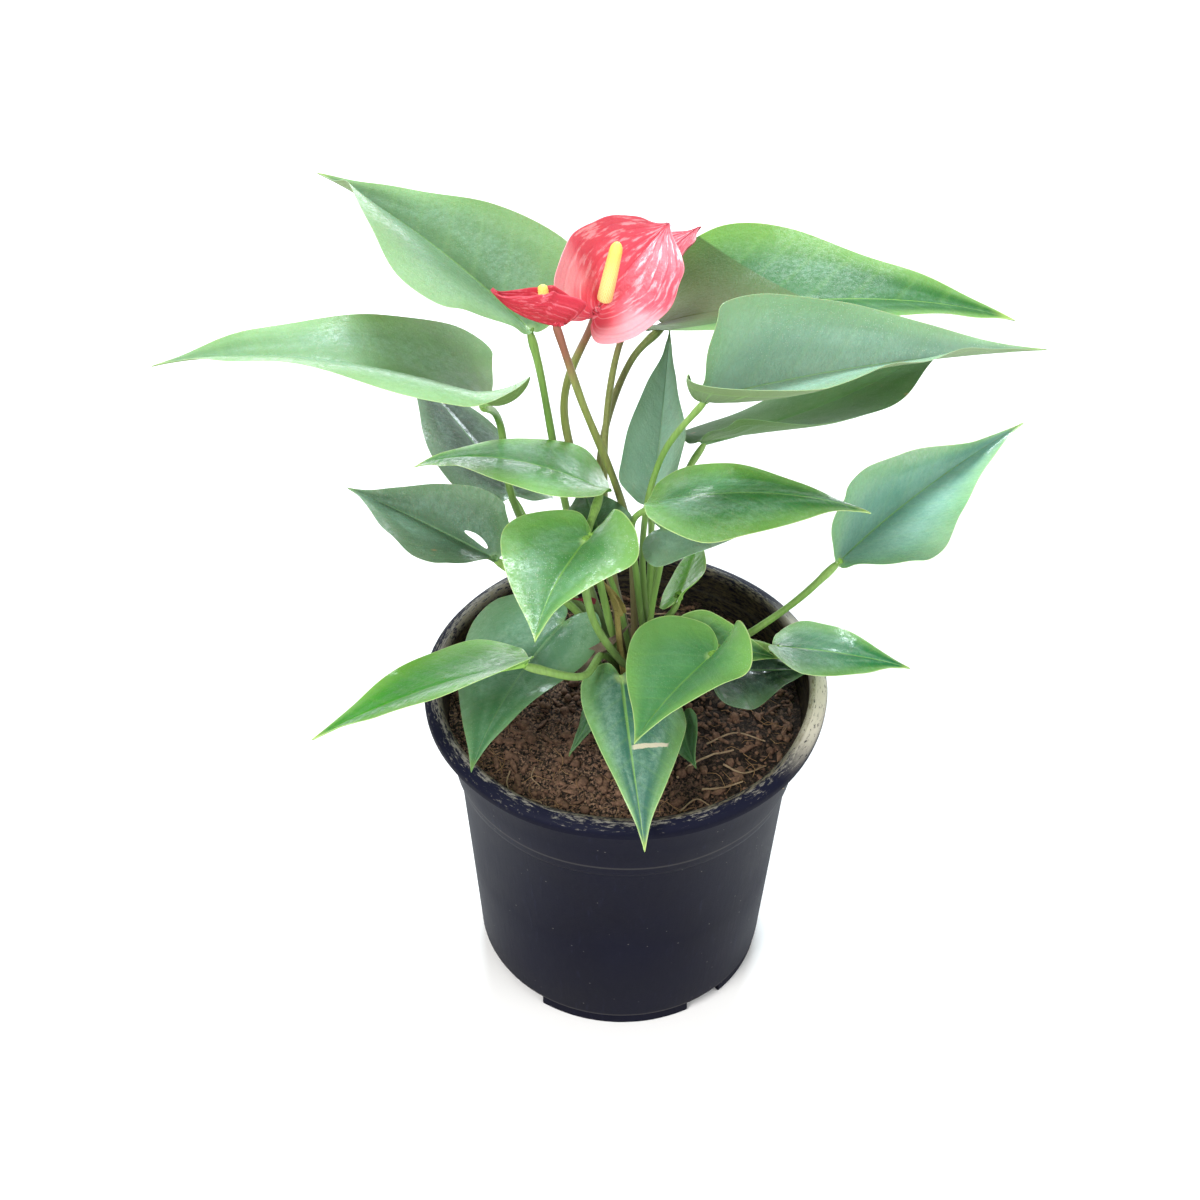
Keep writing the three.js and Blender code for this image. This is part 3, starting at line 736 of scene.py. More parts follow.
@dataclass(frozen=True)
class SpadixFinish:
    """The finish of a spadix: cream florets with a yellower tip."""

    name: str = "spadix_florets"
    colour: Colour = tone(248, 238, 158)
    tip: Colour = tone(246, 230, 100)
    gap: Colour = tone(222, 204, 104)

    def make(self) -> bpy.types.Material:
        """Cream, darker between the florets and yellower towards the tip."""
        graph, shader = new_material(self.name, Coat(specular=0.4, glow=0.15, glow_depth=1.0))
        colour = graph.mix(graph.fade(graph.attribute("along"), 0.3, 1.0, 0.0, 0.8), self.colour, self.tip)
        colour = graph.mix(graph.fade(graph.attribute("floret"), 0.4, 0.0, 0.0, 0.6), colour, self.gap)
        graph.feed(shader.inputs["Base Color"], colour)
        rough = graph.noise(graph.place(), 1500.0, 2.0)
        graph.feed(shader.inputs["Roughness"], graph.plus(0.4, graph.times(rough, 0.2)))
        graph.feed(shader.inputs["Normal"], graph.bump(rough, 0.12, 0.4))
        return graph.material


@dataclass(frozen=True)
class PotFinish:
    """Worn, nearly black moulded plastic."""

    name: str = "pot_plastic"
    colour: Colour = tone(10, 10, 22)
    faded: Colour = tone(30, 33, 54)
    # The dust colour also paints the highlight lines and the lip's highlight ring.
    dust: Colour = tone(150, 146, 136)
    chalk: Colour = tone(206, 200, 184)
    stain: Colour = tone(84, 76, 52)
    inner_radius: float = 44.9
    wall_slope: float = 0.19
    lip_height: float = 133.5
    # Heights of thin pale lines painted as highlights on the foot, the step and the collar's rings.
    highlight_heights: tuple[float, ...] = (6.0, 98.0, 104.0, 125.0)

    def make(self) -> bpy.types.Material:
        """Dark scuffed plastic with a rubbed lip whose pale streaks also paint a thin highlight ring along
        its inner edge, thin pale lines painted as highlights at the foot, the step and the collar's rings, a
        chalky patch on the right and stained walls inside.
        """
        graph, shader = new_material(self.name, Coat(specular=0.05))
        where = graph.place()
        x, y, z = graph.parts(where)
        radius = graph.math("SQRT", graph.plus(graph.times(x, x), graph.times(y, y)))
        clouds = use_group(graph, "Clouds", Size=30.0, Contrast=1.5)
        scuffs = graph.noise(graph.stretch(where, (420.0, 420.0, 60.0)), 1.0, 5.0, 0.65)
        colour = graph.mix(graph.times(clouds.outputs["Soft"], 0.35), self.colour, self.faded)
        colour = graph.mix(graph.fade(scuffs, 0.58, 0.72, 0.0, 0.3), colour, self.faded)
        specks = use_group(graph, "Specks", Scale=420.0, Size=0.16, Share=0.1)
        colour = graph.mix(graph.times(specks.outputs["Mask"], 0.25), colour, self.dust)
        # Painted highlights: thin pale lines at the foot, the step and the collar's rings.
        for level in self.highlight_heights:
            line = graph.fade(graph.math("ABSOLUTE", graph.minus(z, level * MM)), 0.8 * MM, 0.2 * MM)
            colour = graph.mix(graph.times(line, 0.09), colour, self.dust)
        turn = graph.times(graph.math("ARCTAN2", y, x), 22.0)
        round_lip = graph.join(turn, graph.times(radius, 1300.0), graph.times(z, 900.0))
        streaks = graph.noise(round_lip, 1.0, 6.0, 0.72)
        on_lip = graph.fade(z, (self.lip_height - 1.5) * MM, (self.lip_height + 1.0) * MM)
        left = graph.fade(x, -0.02, -0.06, 0.0, 0.07)
        limit = graph.minus(0.6, graph.plus(left, graph.fade(clouds.outputs["Soft"], 0.4, 0.6, 0, 0.06)))
        # Painted highlight: the pale streaks are made denser towards the lip's inner edge, as a thin
        # highlight ring, on top of the rubbed wear.
        inner_ring_highlight = graph.fade(radius, 0.0735, 0.0705, -0.08, 0.05)
        worn = graph.fade(graph.plus(graph.minus(streaks, limit), inner_ring_highlight), -0.06, 0.08)
        lip_wear_and_highlight = graph.times(on_lip, worn)
        colour = graph.mix(graph.times(on_lip, 0.35), colour, self.faded)
        colour = graph.mix(graph.times(lip_wear_and_highlight, 0.6), colour, self.dust)
        side = graph.times(graph.fade(x, 0.045, 0.068), graph.fade(graph.math("ABSOLUTE", y), 0.05, 0.02))
        patch = graph.times(graph.times(on_lip, side), graph.fade(streaks, 0.32, 0.46, 0.0, 0.9))
        colour = graph.mix(patch, colour, self.chalk)
        wall = graph.minus(radius, graph.times(z, self.wall_slope))
        inside = graph.fade(wall, self.inner_radius * MM, (self.inner_radius - 0.5) * MM)
        above = graph.fade(z, 0.11, 0.118)
        stained = graph.times(graph.times(inside, above), graph.fade(streaks, 0.35, 0.65))
        colour = graph.mix(graph.times(stained, 0.7), colour, self.stain)
        graph.feed(shader.inputs["Base Color"], colour)
        rough = graph.plus(0.46, graph.times(clouds.outputs["Soft"], 0.14))
        rough = graph.plus(rough, graph.times(lip_wear_and_highlight, 0.2))
        graph.feed(shader.inputs["Roughness"], rough)
        grain = graph.bump(graph.noise(where, 1400.0, 2.0), 0.06, 0.4)
        graph.feed(shader.inputs["Normal"], graph.bump(scuffs, 0.25, 0.35, grain))
        return graph.material


@dataclass(frozen=True)
class MixFinish:
    """Moist peat and coir."""

    name: str = "peat_and_coir"
    dark: Colour = tone(34, 29, 26)
    middle: Colour = tone(110, 88, 74)
    light: Colour = tone(158, 126, 104)

    def make(self) -> bpy.types.Material:
        """Dark brown crumbs with lighter coir, lighter towards the front left and with darker patches towards
        the back right.
        """
        graph, shader = new_material(self.name, Coat(specular=0.2))
        where = graph.place()
        x, y, _ = graph.parts(where)
        toward_front_left = graph.fade(graph.plus(x, graph.times(y, 0.5)), 0.03, -0.05)
        damp = use_group(graph, "Clouds", Size=14.0, Contrast=1.6)
        grain = graph.noise(where, 620.0, 6.0, 0.72)
        crumbs = graph.noise(where, 1100.0, 3.0, 0.6)
        clumps = graph.noise(where, 210.0, 4.0, 0.7)
        colour = graph.mix(graph.fade(grain, 0.43, 0.57), self.dark, self.middle)
        colour = graph.mix(graph.fade(clumps, 0.53, 0.46, 0.0, 0.9), colour, self.dark)
        picked = graph.times(graph.fade(crumbs, 0.48, 0.62), graph.plus(0.1, toward_front_left))
        colour = graph.mix(picked, colour, self.light)
        wet = graph.times(damp.outputs["Sharp"], graph.minus(0.7, graph.times(toward_front_left, 1.4)))
        colour = graph.mix(graph.math("MAXIMUM", wet, 0.0), colour, self.dark)
        graph.feed(shader.inputs["Base Color"], colour)
        graph.feed(shader.inputs["Roughness"], graph.plus(0.78, graph.times(grain, 0.2)))
        bed = graph.bump(graph.cells(where, 700.0), 1.4, 0.9)
        graph.feed(shader.inputs["Normal"], graph.bump(grain, 1.6, 0.9, bed))
        return graph.material


@dataclass(frozen=True)
class BarkFinish:
    """Dry plant stuff: chips, fibres, twigs, sheaths and dead leaf."""

    name: str
    dark: Colour
    light: Colour
    grain: float = 8.0
    roughness: float = 0.8

    def make(self) -> bpy.types.Material:
        """Clouds between two browns with a fine grain."""
        graph, shader = new_material(self.name, Coat(specular=0.25))
        where = graph.place()
        clouds = use_group(graph, "Clouds", Size=self.grain, Contrast=2.2)
        fine = graph.noise(where, 1600.0, 4.0, 0.7)
        colour = graph.mix(clouds.outputs["Sharp"], self.dark, self.light)
        colour = graph.mix(graph.fade(fine, 0.4, 0.75, 0.0, 0.5), colour, self.dark)
        graph.feed(shader.inputs["Base Color"], colour)
        graph.feed(shader.inputs["Roughness"], graph.plus(self.roughness, graph.times(fine, 0.15)))
        graph.feed(shader.inputs["Normal"], graph.bump(fine, 0.4, 0.7))
        return graph.material


# ---- Shapes ---------------------------------------------------------------------------------------------


def heading_and_pitch(heading: np.ndarray, pitch: np.ndarray) -> np.ndarray:
    """Unit vectors for headings round from +X and pitches up from level, both in radians."""
    level = np.cos(pitch)
    return np.stack([level * np.cos(heading), level * np.sin(heading), np.sin(pitch)], axis=-1)


def stretches(points: Sequence[tuple[float, ...]], shares: np.ndarray) -> tuple[np.ndarray, ...]:
    """Finds the stretch of a curve that each share lies on.

    Args:
        points: The points that the curve goes through.
        shares: Places on it, from 0 at the first point to 1 at the last.

    Returns:
        For each share, the points before, at the start, at the end and after its stretch, and its part.
    """
    known = np.array(points, dtype=float)
    known = np.vstack([2 * known[0] - known[1], known, 2 * known[-1] - known[-2]])
    place = np.clip(shares, 0, 1 - 1e-9) * (len(points) - 1)
    piece = place.astype(int)
    part = (place - piece)[:, None]
    before, start, end, after = (known[piece + i] for i in range(4))
    return before, start, end, after, part


def spline(points: Sequence[Point], shares: np.ndarray) -> np.ndarray:
    """A smooth curve through points, eased by their distances.

    Args:
        points: The points that the curve goes through.
        shares: Places on it, from 0 at the first point to 1 at the last.

    Returns:
        A row of x, y and z for each share.
    """
    before, start, end, after, part = stretches(points, shares)
    pairs = ((before, start), (start, end), (end, after))
    gaps = [np.sqrt(np.linalg.norm(b - a, axis=1))[:, None] for a, b in pairs]
    leave = ((start - before) / gaps[0] - (end - before) / (gaps[0] + gaps[1])) * gaps[1] + end - start
    reach = ((after - end) / gaps[2] - (after - start) / (gaps[1] + gaps[2])) * gaps[1] + end - start
    return (start + leave * part + (3 * (end - start) - 2 * leave - reach) * part**2
            + (2 * (start - end) + leave + reach) * part**3)


@dataclass(frozen=True)
class Form:
    """The shape of a blade and the way its stem runs, in millimetres and degrees.

    A pair holds the values of the left and the right half. The frame turns evenly from the joint to the tip:
    heading, pitch and roll by sweep, droop and twist. A half's lobe reaches behind the joint. Its ear and
    perk say how far that lobe rises, at its side and at its back, its lean how far it swings over towards
    the other lobe, and fullness how much rounder than a heart's the tip's sides are.
    """

    joint: Point
    heading: float
    pitch: float
    droop: float
    sweep: float
    roll: float
    twist: float
    length: float
    width: Pair
    fold: Pair
    curl: Pair
    lift: Pair
    root: Pair
    via: tuple[Point, Point]
    lobe: Pair = (0.2, 0.2)
    ear: Pair = (0.0, 0.0)
    perk: Pair = (0.0, 0.0)
    lean: Pair = (0.0, 0.0)
    fullness: float = 0.0

    WIDEST = 0.345
    HEART = ((0, 0), (-0.12, 0.03), (-0.2, 0.13), (-0.1, 0.27), (0.12, 0.345), (0.38, 0.27), (0.64, 0.145),
             (0.84, 0.05), (1, 0))
    CROWN_MIDDLE = (5.0, 0.0, 124.0)
    CROWN_SIZE = (20.0, 20.0, 26.0)

    def axes(self, share: np.ndarray) -> tuple[np.ndarray, np.ndarray, np.ndarray]:
        """The directions along the midrib, to the left and out of the upper face.

        Args:
            share: Places from the joint, 0, to the tip, 1.

        Returns:
            Three arrays of unit vectors.
        """
        heading = np.radians(self.heading + self.sweep * share)
        roll = np.radians(self.roll + self.twist * share)[:, None]
        along = heading_and_pitch(heading, np.radians(self.pitch + self.droop * share))
        level = heading_and_pitch(heading + math.pi / 2, np.zeros_like(heading))
        upright = np.cross(along, level)
        left = level * np.cos(roll) + upright * np.sin(roll)
        return along, left, upright * np.cos(roll) - level * np.sin(roll)

    def midrib(self, share: np.ndarray) -> np.ndarray:
        """Points on the midrib at shares of the length."""
        steps = 200
        along = self.axes((np.arange(steps) + 0.5) / steps)[0] * self.length / steps
        run = np.vstack([np.zeros(3), np.cumsum(along, axis=0)]) + np.array(self.joint)
        places = np.linspace(0, 1, steps + 1)
        return np.stack([np.interp(share, places, run[:, axis]) for axis in range(3)], axis=-1)

    def flat(self, way: np.ndarray, across: np.ndarray) -> tuple[np.ndarray, np.ndarray]:
        """The flat blade's points.

        Args:
            way: Places round the outline from the sinus, 0, to the tip, 1.
            across: Shares of the way out from the midrib, positive on the left.

        Returns:
            The distances along the midrib and to its left.
        """
        outline = spline_even(self.HEART, way)
        out = np.abs(across)
        wide, lobe, lean = (np.where(across > 0, *pair) for pair in (self.width, self.lobe, self.lean))
        ahead = np.clip((outline[:, 0] + 0.05) / 0.2, 0, 1)
        edge = outline[:, 0] * (lobe + (1 - lobe) * ahead * ahead * (3 - 2 * ahead))
        start = way**1.6
        back = np.clip(-outline[:, 0] / 0.2, 0, 1) ** 1.5
        round_off = self.fullness * np.sin(math.pi * np.clip((edge - 0.3) / 0.7, 0, 1))
        side = (outline[:, 1] + round_off) * wide * (1 - lean * back)
        return self.length * (start + (edge - start) * out), np.sign(across) * side * self.length * out

    def bend(self, x: np.ndarray, y: np.ndarray, across: np.ndarray, valley: float) -> np.ndarray:
        """Bends points of the flat blade to their places in the plant.

        Args:
            x: Distances along the midrib.
            y: Distances to the left.
            across: The points' shares of the way out, of which the sign tells the half.
            valley: How far from the midrib the fold between the halves is rounded.

        Returns:
            Their places.
        """
        share = np.clip(x / self.length, 0, 1)
        along, left, up = self.axes(share)
        fold, curl, lift, ear, perk = (
            np.where(across > 0, *pair) for pair in (self.fold, self.curl, self.lift, self.ear, self.perk)
        )
        own = y * np.sign(across)
        away = np.abs(own) / (self.WIDEST * self.length)
        rise = np.radians(fold + curl * away / 2)
        behind = np.clip((0.25 * self.length - x) / (0.45 * self.length), 0, 1)
        turned = np.clip((0.05 * self.length - x) / (0.17 * self.length), 0, 1.4)
        rounded = np.sign(own) * (np.sqrt(own**2 + valley**2) - valley)
        height = rounded * np.sin(rise) + (lift * behind**2 + ear * turned**1.5) * away
        height += perk * np.clip(-x / (0.17 * self.length), 0, None) ** 1.5
        return (self.midrib(share) + along * np.minimum(x, 0)[:, None] + left * (y * np.cos(rise))[:, None]
                + up * height[:, None])

    def stem_route(self, radius: float) -> list[Point]:
        """The points that the stem goes through, from inside the crown to the blade's joint."""
        size, middle = np.array(self.CROWN_SIZE), np.array(self.CROWN_MIDDLE)
        joint = np.array(self.joint, float)
        out = heading_and_pitch(*(np.radians(np.array([angle])) for angle in self.root))[0]
        foot = middle + out * size * 0.45
        up = self.axes(np.zeros(1))[2][0]
        run = joint - np.array(self.via[1])
        square = float(run @ up) / float(np.linalg.norm(run))
        end = joint - up * (0.1 + 0.75 * radius * math.sqrt(max(0.0, 1 - square**2)))
        return [tuple(foot), *self.via, tuple(end)]


def spline_even(points: Sequence[tuple[float, ...]], shares: np.ndarray) -> np.ndarray:
    """A smooth curve through points, with the same share of the way for each step between them.

    Args:
        points: The points that the curve goes through.
        shares: Places on it, from 0 at the first point to 1 at the last.

    Returns:
        A row of coordinates for each share.
    """
    before, start, end, after, part = stretches(points, shares)
    return 0.5 * (2 * start + (end - before) * part + (2 * before - 5 * start + 4 * end - after) * part**2
                  + (3 * start - before - 3 * end + after) * part**3)


def tube(name: str, route: np.ndarray, radii: np.ndarray, sides: int = 10) -> bpy.types.Object:
    """Makes a round stem along a route.

    Args:
        name: The piece's name.
        route: The middle of each ring, in millimetres.
        radii: Each ring's radius.
        sides: The number of sides.

    Returns:
        The closed stem, with its way along stored as the attribute "along".
    """
    deselect_all()
    bpy.ops.mesh.primitive_cylinder_add(vertices=sides, radius=1, depth=2, end_fill_type="NGON")
    piece = name_active(name)
    for edge in piece.data.edges:
        low, high = (piece.data.vertices[i].co.z for i in edge.vertices)
        edge.select = abs(low - high) > 1
    rings = len(route)
    make_active(piece)
    bpy.ops.object.mode_set(mode="EDIT")
    bpy.ops.mesh.select_mode(type="EDGE")
    bpy.ops.mesh.subdivide(number_cuts=rings - 2)
    bpy.ops.object.mode_set(mode="OBJECT")
    found = points_of(piece)
    ring = np.rint((found[:, 2] + 1) / 2 * (rings - 1)).astype(int)
    heading = np.gradient(route, axis=0)
    heading /= np.linalg.norm(heading, axis=1)[:, None]
    side = np.cross(heading[0], (0.0, 0.0, 1.0) if abs(heading[0][2]) < 0.9 else (1.0, 0.0, 0.0))
    sides_of = []
    for way in heading:
        side = side - way * (side @ way)
        side = side / np.linalg.norm(side)
        sides_of.append(side)
    across = np.array(sides_of)
    upward = np.cross(heading, across)
    width = radii[ring][:, None]
    places = route[ring] + (across[ring] * found[:, :1] + upward[ring] * found[:, 1:2]) * width
    move_points(piece, places * MM)
    paint(piece, "along", ring / (rings - 1))
    return piece


def extrude_ring(radius: float, height: float, next_radius: float, next_height: float) -> None:
    """Extrudes the selected ring to its next height and radius, in millimetres."""
    bpy.ops.mesh.extrude_edges_move(TRANSFORM_OT_translate={"value": (0, 0, (next_height - height) * MM)})
    scale = next_radius / radius
    bpy.ops.transform.resize(value=(scale, scale, 1), center_override=(0, 0, next_height * MM))


def lathe(name: str, profile: Sequence[Pair], sides: int) -> bpy.types.Object:
    """Turns a profile round the Z axis, with both ends closed.

    Args:
        name: The piece's name.
        profile: Radius and height of each ring, in millimetres, from one end to the other.
        sides: The number of sides.

    Returns:
        The closed piece.
    """
    deselect_all()
    radius, height = profile[0]
    bpy.ops.mesh.primitive_circle_add(
        vertices=sides, radius=radius * MM, fill_type="NGON", location=(0, 0, height * MM)
    )
    piece = name_active(name)
    bpy.ops.object.transform_apply(location=True)
    bpy.ops.object.mode_set(mode="EDIT")
    bpy.ops.mesh.select_mode(type="EDGE")
    bpy.ops.mesh.select_all(action="SELECT")
    for (radius, height), (next_radius, next_height) in zip(profile, profile[1:]):
        extrude_ring(radius, height, next_radius, next_height)
    bpy.ops.mesh.edge_face_add()
    bpy.ops.object.mode_set(mode="OBJECT")
    return piece


def scatter(
    name: str, patterns: Sequence[bpy.types.Object], spots: Sequence[tuple[int, Matrix]]
) -> bpy.types.Object:
    """Copies small patterns to many spots as one piece, and removes the patterns.

    Args:
        name: The piece's name.
        patterns: The shapes, in metres at the origin.
        spots: For each copy, the number of its pattern and its place.

    Returns:
        The piece.
    """
    work = bmesh.new()
    for number, place in spots:
        copy = patterns[number].data.copy()
        copy.transform(place)
        work.from_mesh(copy)
        bpy.data.meshes.remove(copy)
    mesh = patterns[0].data.copy()
    mesh.name = name
    work.to_mesh(mesh)
    work.free()
    for pattern in patterns:
        bpy.data.objects.remove(pattern)
    piece = bpy.data.objects.new(name, mesh)
    bpy.context.scene.collection.objects.link(piece)
    return piece


class Veins(Enum):
    """How a blade's veins run."""

    FEATHERED = "from the midrib to the edge"
    PARALLEL = "from the joint to the tip"


@dataclass(frozen=True)
class Blade:
    """One leaf blade or spathe: a thin, veined sheet over its form."""

    name: str
    form: Form
    veins: Veins = Veins.FEATHERED
    thickness: float = 0.45
    ridge: float = 1.1
    puff: float = 0.1
    wave: float = 0.009
    phase: float = 0.0
    side_veins: float = 8.0
    back_veins: float = 4.0
    rows: int = 84
    columns: int = 18
    torn: Optional[tuple[Pair, Pair]] = None
    tear_width: float = 1.2

    GREATEST = 2.4

    def vein_phase(self, x: np.ndarray, y: np.ndarray, across: np.ndarray) -> np.ndarray:
        """A number that is whole on each side vein, for points of the flat blade."""
        if self.veins is Veins.PARALLEL:
            return np.abs(across) * 5.0
        forward, out = x / self.form.length, np.abs(y) / self.form.length
        start = forward - 0.75 * out - 0.5 * out**2
        turn = np.arctan2(out, forward + 1e-9)
        first = np.arctan2(1.0, 0.75 + 0.5 * out)
        behind = -self.back_veins * np.clip((turn - first) / (math.pi - first), 0, 1)
        return np.where(start > 0, self.side_veins * np.maximum(start, 0), behind)

    def relief(self, way: np.ndarray, across: np.ndarray, phase: np.ndarray, x: np.ndarray) -> np.ndarray:
        """How far the upper face stands off its form: sunken veins, puffed cells and a waved margin."""
        out = np.abs(across)
        cells = np.abs(np.sin(math.pi * phase)) ** 0.6 - 0.55
        shown = np.clip((1 - out) / 0.15, 0, 1) * np.clip(out / 0.12, 0, 1) * np.clip(way * 8, 0, 1)
        groove = -0.35 * np.exp(-((across * self.form.length * 0.3 / 1.1) ** 2))
        groove = groove * np.clip((1 - way) * 4, 0, 1)
        waves = np.sin(2 * math.pi * (2.6 * way + self.phase + 0.27 * np.sign(across)))
        waves = waves + 0.5 * np.sin(2 * math.pi * (5.3 * way + 2.1 * self.phase))
        ends = np.clip(way * 5, 0, 1) * np.clip((1 - way) * 5, 0, 1)
        return cells * self.puff * shown + groove + waves * self.wave * self.form.length * out**3 * ends

    def sheet(self) -> bpy.types.Object:
        """The upper face as an open sheet, with what its material reads stored on it."""
        deselect_all()
        bpy.ops.mesh.primitive_grid_add(x_subdivisions=2 * self.columns, y_subdivisions=self.rows, size=2)
        piece = name_active(self.name)
        found = points_of(piece)
        across = -np.sign(found[:, 0]) * np.abs(found[:, 0]) ** 1.25
        way = (found[:, 1] + 1) / 2
        x, y = self.form.flat(way, across)
        edge_x, edge_y = self.form.flat(way, np.where(across > 0, 1.0, -1.0))
        move_points(piece, self.form.bend(x, y, across, valley=1.0) * MM)
        up = np.empty(len(found) * 3)
        piece.data.vertex_normals.foreach_get("vector", up)
        phase = self.vein_phase(x, y, across)
        raised = self.relief(way, across, phase, x) + self.thickness / 2
        up = up.reshape(-1, 3)
        up[way < 1e-6] = self.form.axes(np.zeros(1))[2][0]
        up[way > 1 - 1e-6] = self.form.axes(np.ones(1))[2][0]
        move_points(piece, points_of(piece) + up * raised[:, None] * MM)
        paint(piece, "along", np.clip(x / self.form.length, 0, 1))
        paint(piece, "across", across)
        paint(piece, "vein", phase)
        paint(piece, "rib", np.abs(y))
        paint(piece, "edge", np.hypot(edge_x - x, edge_y - y))
        paint(piece, "hub", np.hypot(x, y))
        self.set_thickness(piece, way, y, across)
        return piece

    def set_thickness(
        self, piece: bpy.types.Object, way: np.ndarray, y: np.ndarray, across: np.ndarray
    ) -> None:
        """Weights the sheet's points by how thick the blade is there, with a ridge under the midrib."""
        ridge = self.ridge * np.exp(-((y / (0.9 + 0.3 * (1 - way))) ** 2)) * (1 - way) ** 0.8
        thin = np.clip((1 - np.abs(across)) / 0.06, 0.35, 1)
        wanted = (self.thickness * thin + ridge) / self.GREATEST
        group_of = piece.vertex_groups.new(name="thickness")
        for number, weight in enumerate(np.clip(wanted, 0.02, 1)):
            group_of.add([number], float(weight), "REPLACE")

    def tear(self, piece: bpy.types.Object) -> None:
        """Cuts the slot where the blade is torn, with a bar that lies along it."""
        shares = np.linspace(0, 1, 24)
        way, across = (first + (last - first) * shares for first, last in zip(*self.torn))
        x, y = self.form.flat(way, across)
        route = self.form.bend(x, y, across, valley=1.0)
        cutter = tube("tear_cutter", route, 0.2 + self.tear_width * np.sin(math.pi * shares) ** 0.6, 12)
        finish_with(piece, "BOOLEAN", operation="DIFFERENCE", solver="EXACT", object=cutter)
        bpy.data.objects.remove(cutter)

    def build(
        self, top: bpy.types.Material, under: bpy.types.Material, slot: str, *nodes: str
    ) -> bpy.types.Object:
        """Models the blade and hands it over.

        Args:
            top: The upper face's material.
            under: The lower face's material.
            slot: The record's slot.
            nodes: The CAD nodes that it replaces.

        Returns:
            The piece.
        """
        piece = self.sheet()
        edit(piece, lambda: bpy.ops.mesh.remove_doubles(threshold=1e-6))
        piece.data.materials.append(top)
        piece.data.materials.append(under)
        finish_with(
            piece, "SOLIDIFY", thickness=self.GREATEST * MM, offset=-1.0, vertex_group="thickness",
            thickness_vertex_group=0.0, use_rim=True, use_even_offset=False, material_offset=1,
            material_offset_rim=0,
        )
        piece.vertex_groups.clear()
        if self.torn:
            self.tear(piece)
        smooth(piece, 60.0)
        return settle(piece, slot, *nodes)


# ---- Leaves and flowers ---------------------------------------------------------------------------------


@dataclass(frozen=True)
class Stem:
    """A petiole or peduncle with a flared foot and, on a leaf, a swollen joint below the blade."""

    name: str
    form: Form
    radius: float = 1.4
    flare: float = 0.7
    swelling: float = 0.22
    sides: int = 12
    step: float = 2.2

    def build(self, finish: bpy.types.Material, slot: str, node: str) -> bpy.types.Object:
        """Models the stem and hands it over.

        Args:
            finish: The stem's material.
            slot: The record's slot.
            node: The CAD node that it takes the place of.

        Returns:
            The piece.
        """
        rough = spline(self.form.stem_route(self.radius), np.linspace(0, 1, 200))
        run = np.concatenate([[0.0], np.cumsum(np.linalg.norm(np.diff(rough, axis=0), axis=1))])
        rings = max(12, int(run[-1] / self.step))
        away = np.linspace(0, run[-1], rings)
        route = np.stack([np.interp(away, run, rough[:, axis]) for axis in range(3)], axis=-1)
        left = run[-1] - away
        swollen = np.exp(-(((left - 6.0) / 3.2) ** 2))
        radii = self.radius * (1 + self.flare * np.exp(-away / 6.0) + self.swelling * swollen)
        radii *= 1 + 0.04 * np.sin(away / 5.0 + self.radius * 9)
        radii *= np.clip(left / self.radius + 0.72, 0.72, 1)
        piece = tube(self.name, route, radii, self.sides)
        piece.data.materials.append(finish)
        smooth(piece, 60.0)
        return settle(piece, slot, node)


@dataclass(frozen=True)
class Leaf:
    """One leaf: its blade and petiole."""

    name: str
    form: Form
    age: LeafAge = LeafAge.FRESH
    tint_and_light: Colour = (1.0, 1.0, 1.0)
    stem_radius: float = 1.4
    finish: dict[str, float] = field(default_factory=dict)
    settings: dict[str, float] = field(default_factory=dict)

    def build(self, stem: bpy.types.Material) -> list[bpy.types.Object]:
        """Models the leaf.

        Args:
            stem: The petiole's material.

        Returns:
            The blade and the petiole.
        """
        coat = self.age.value.tinted(f"leaf_{self.name}", self.tint_and_light, **self.finish)
        node = f"blade_{self.name}"
        blade = Blade(f"leaf_{self.name}", self.form, **self.settings)
        petiole = Stem(f"stem_{self.name}", self.form, self.stem_radius)
        return [
            blade.build(coat.top(), coat.bottom(), "leaf", node),
            petiole.build(stem, "petiole", f"petiole_{self.name}"),
        ]


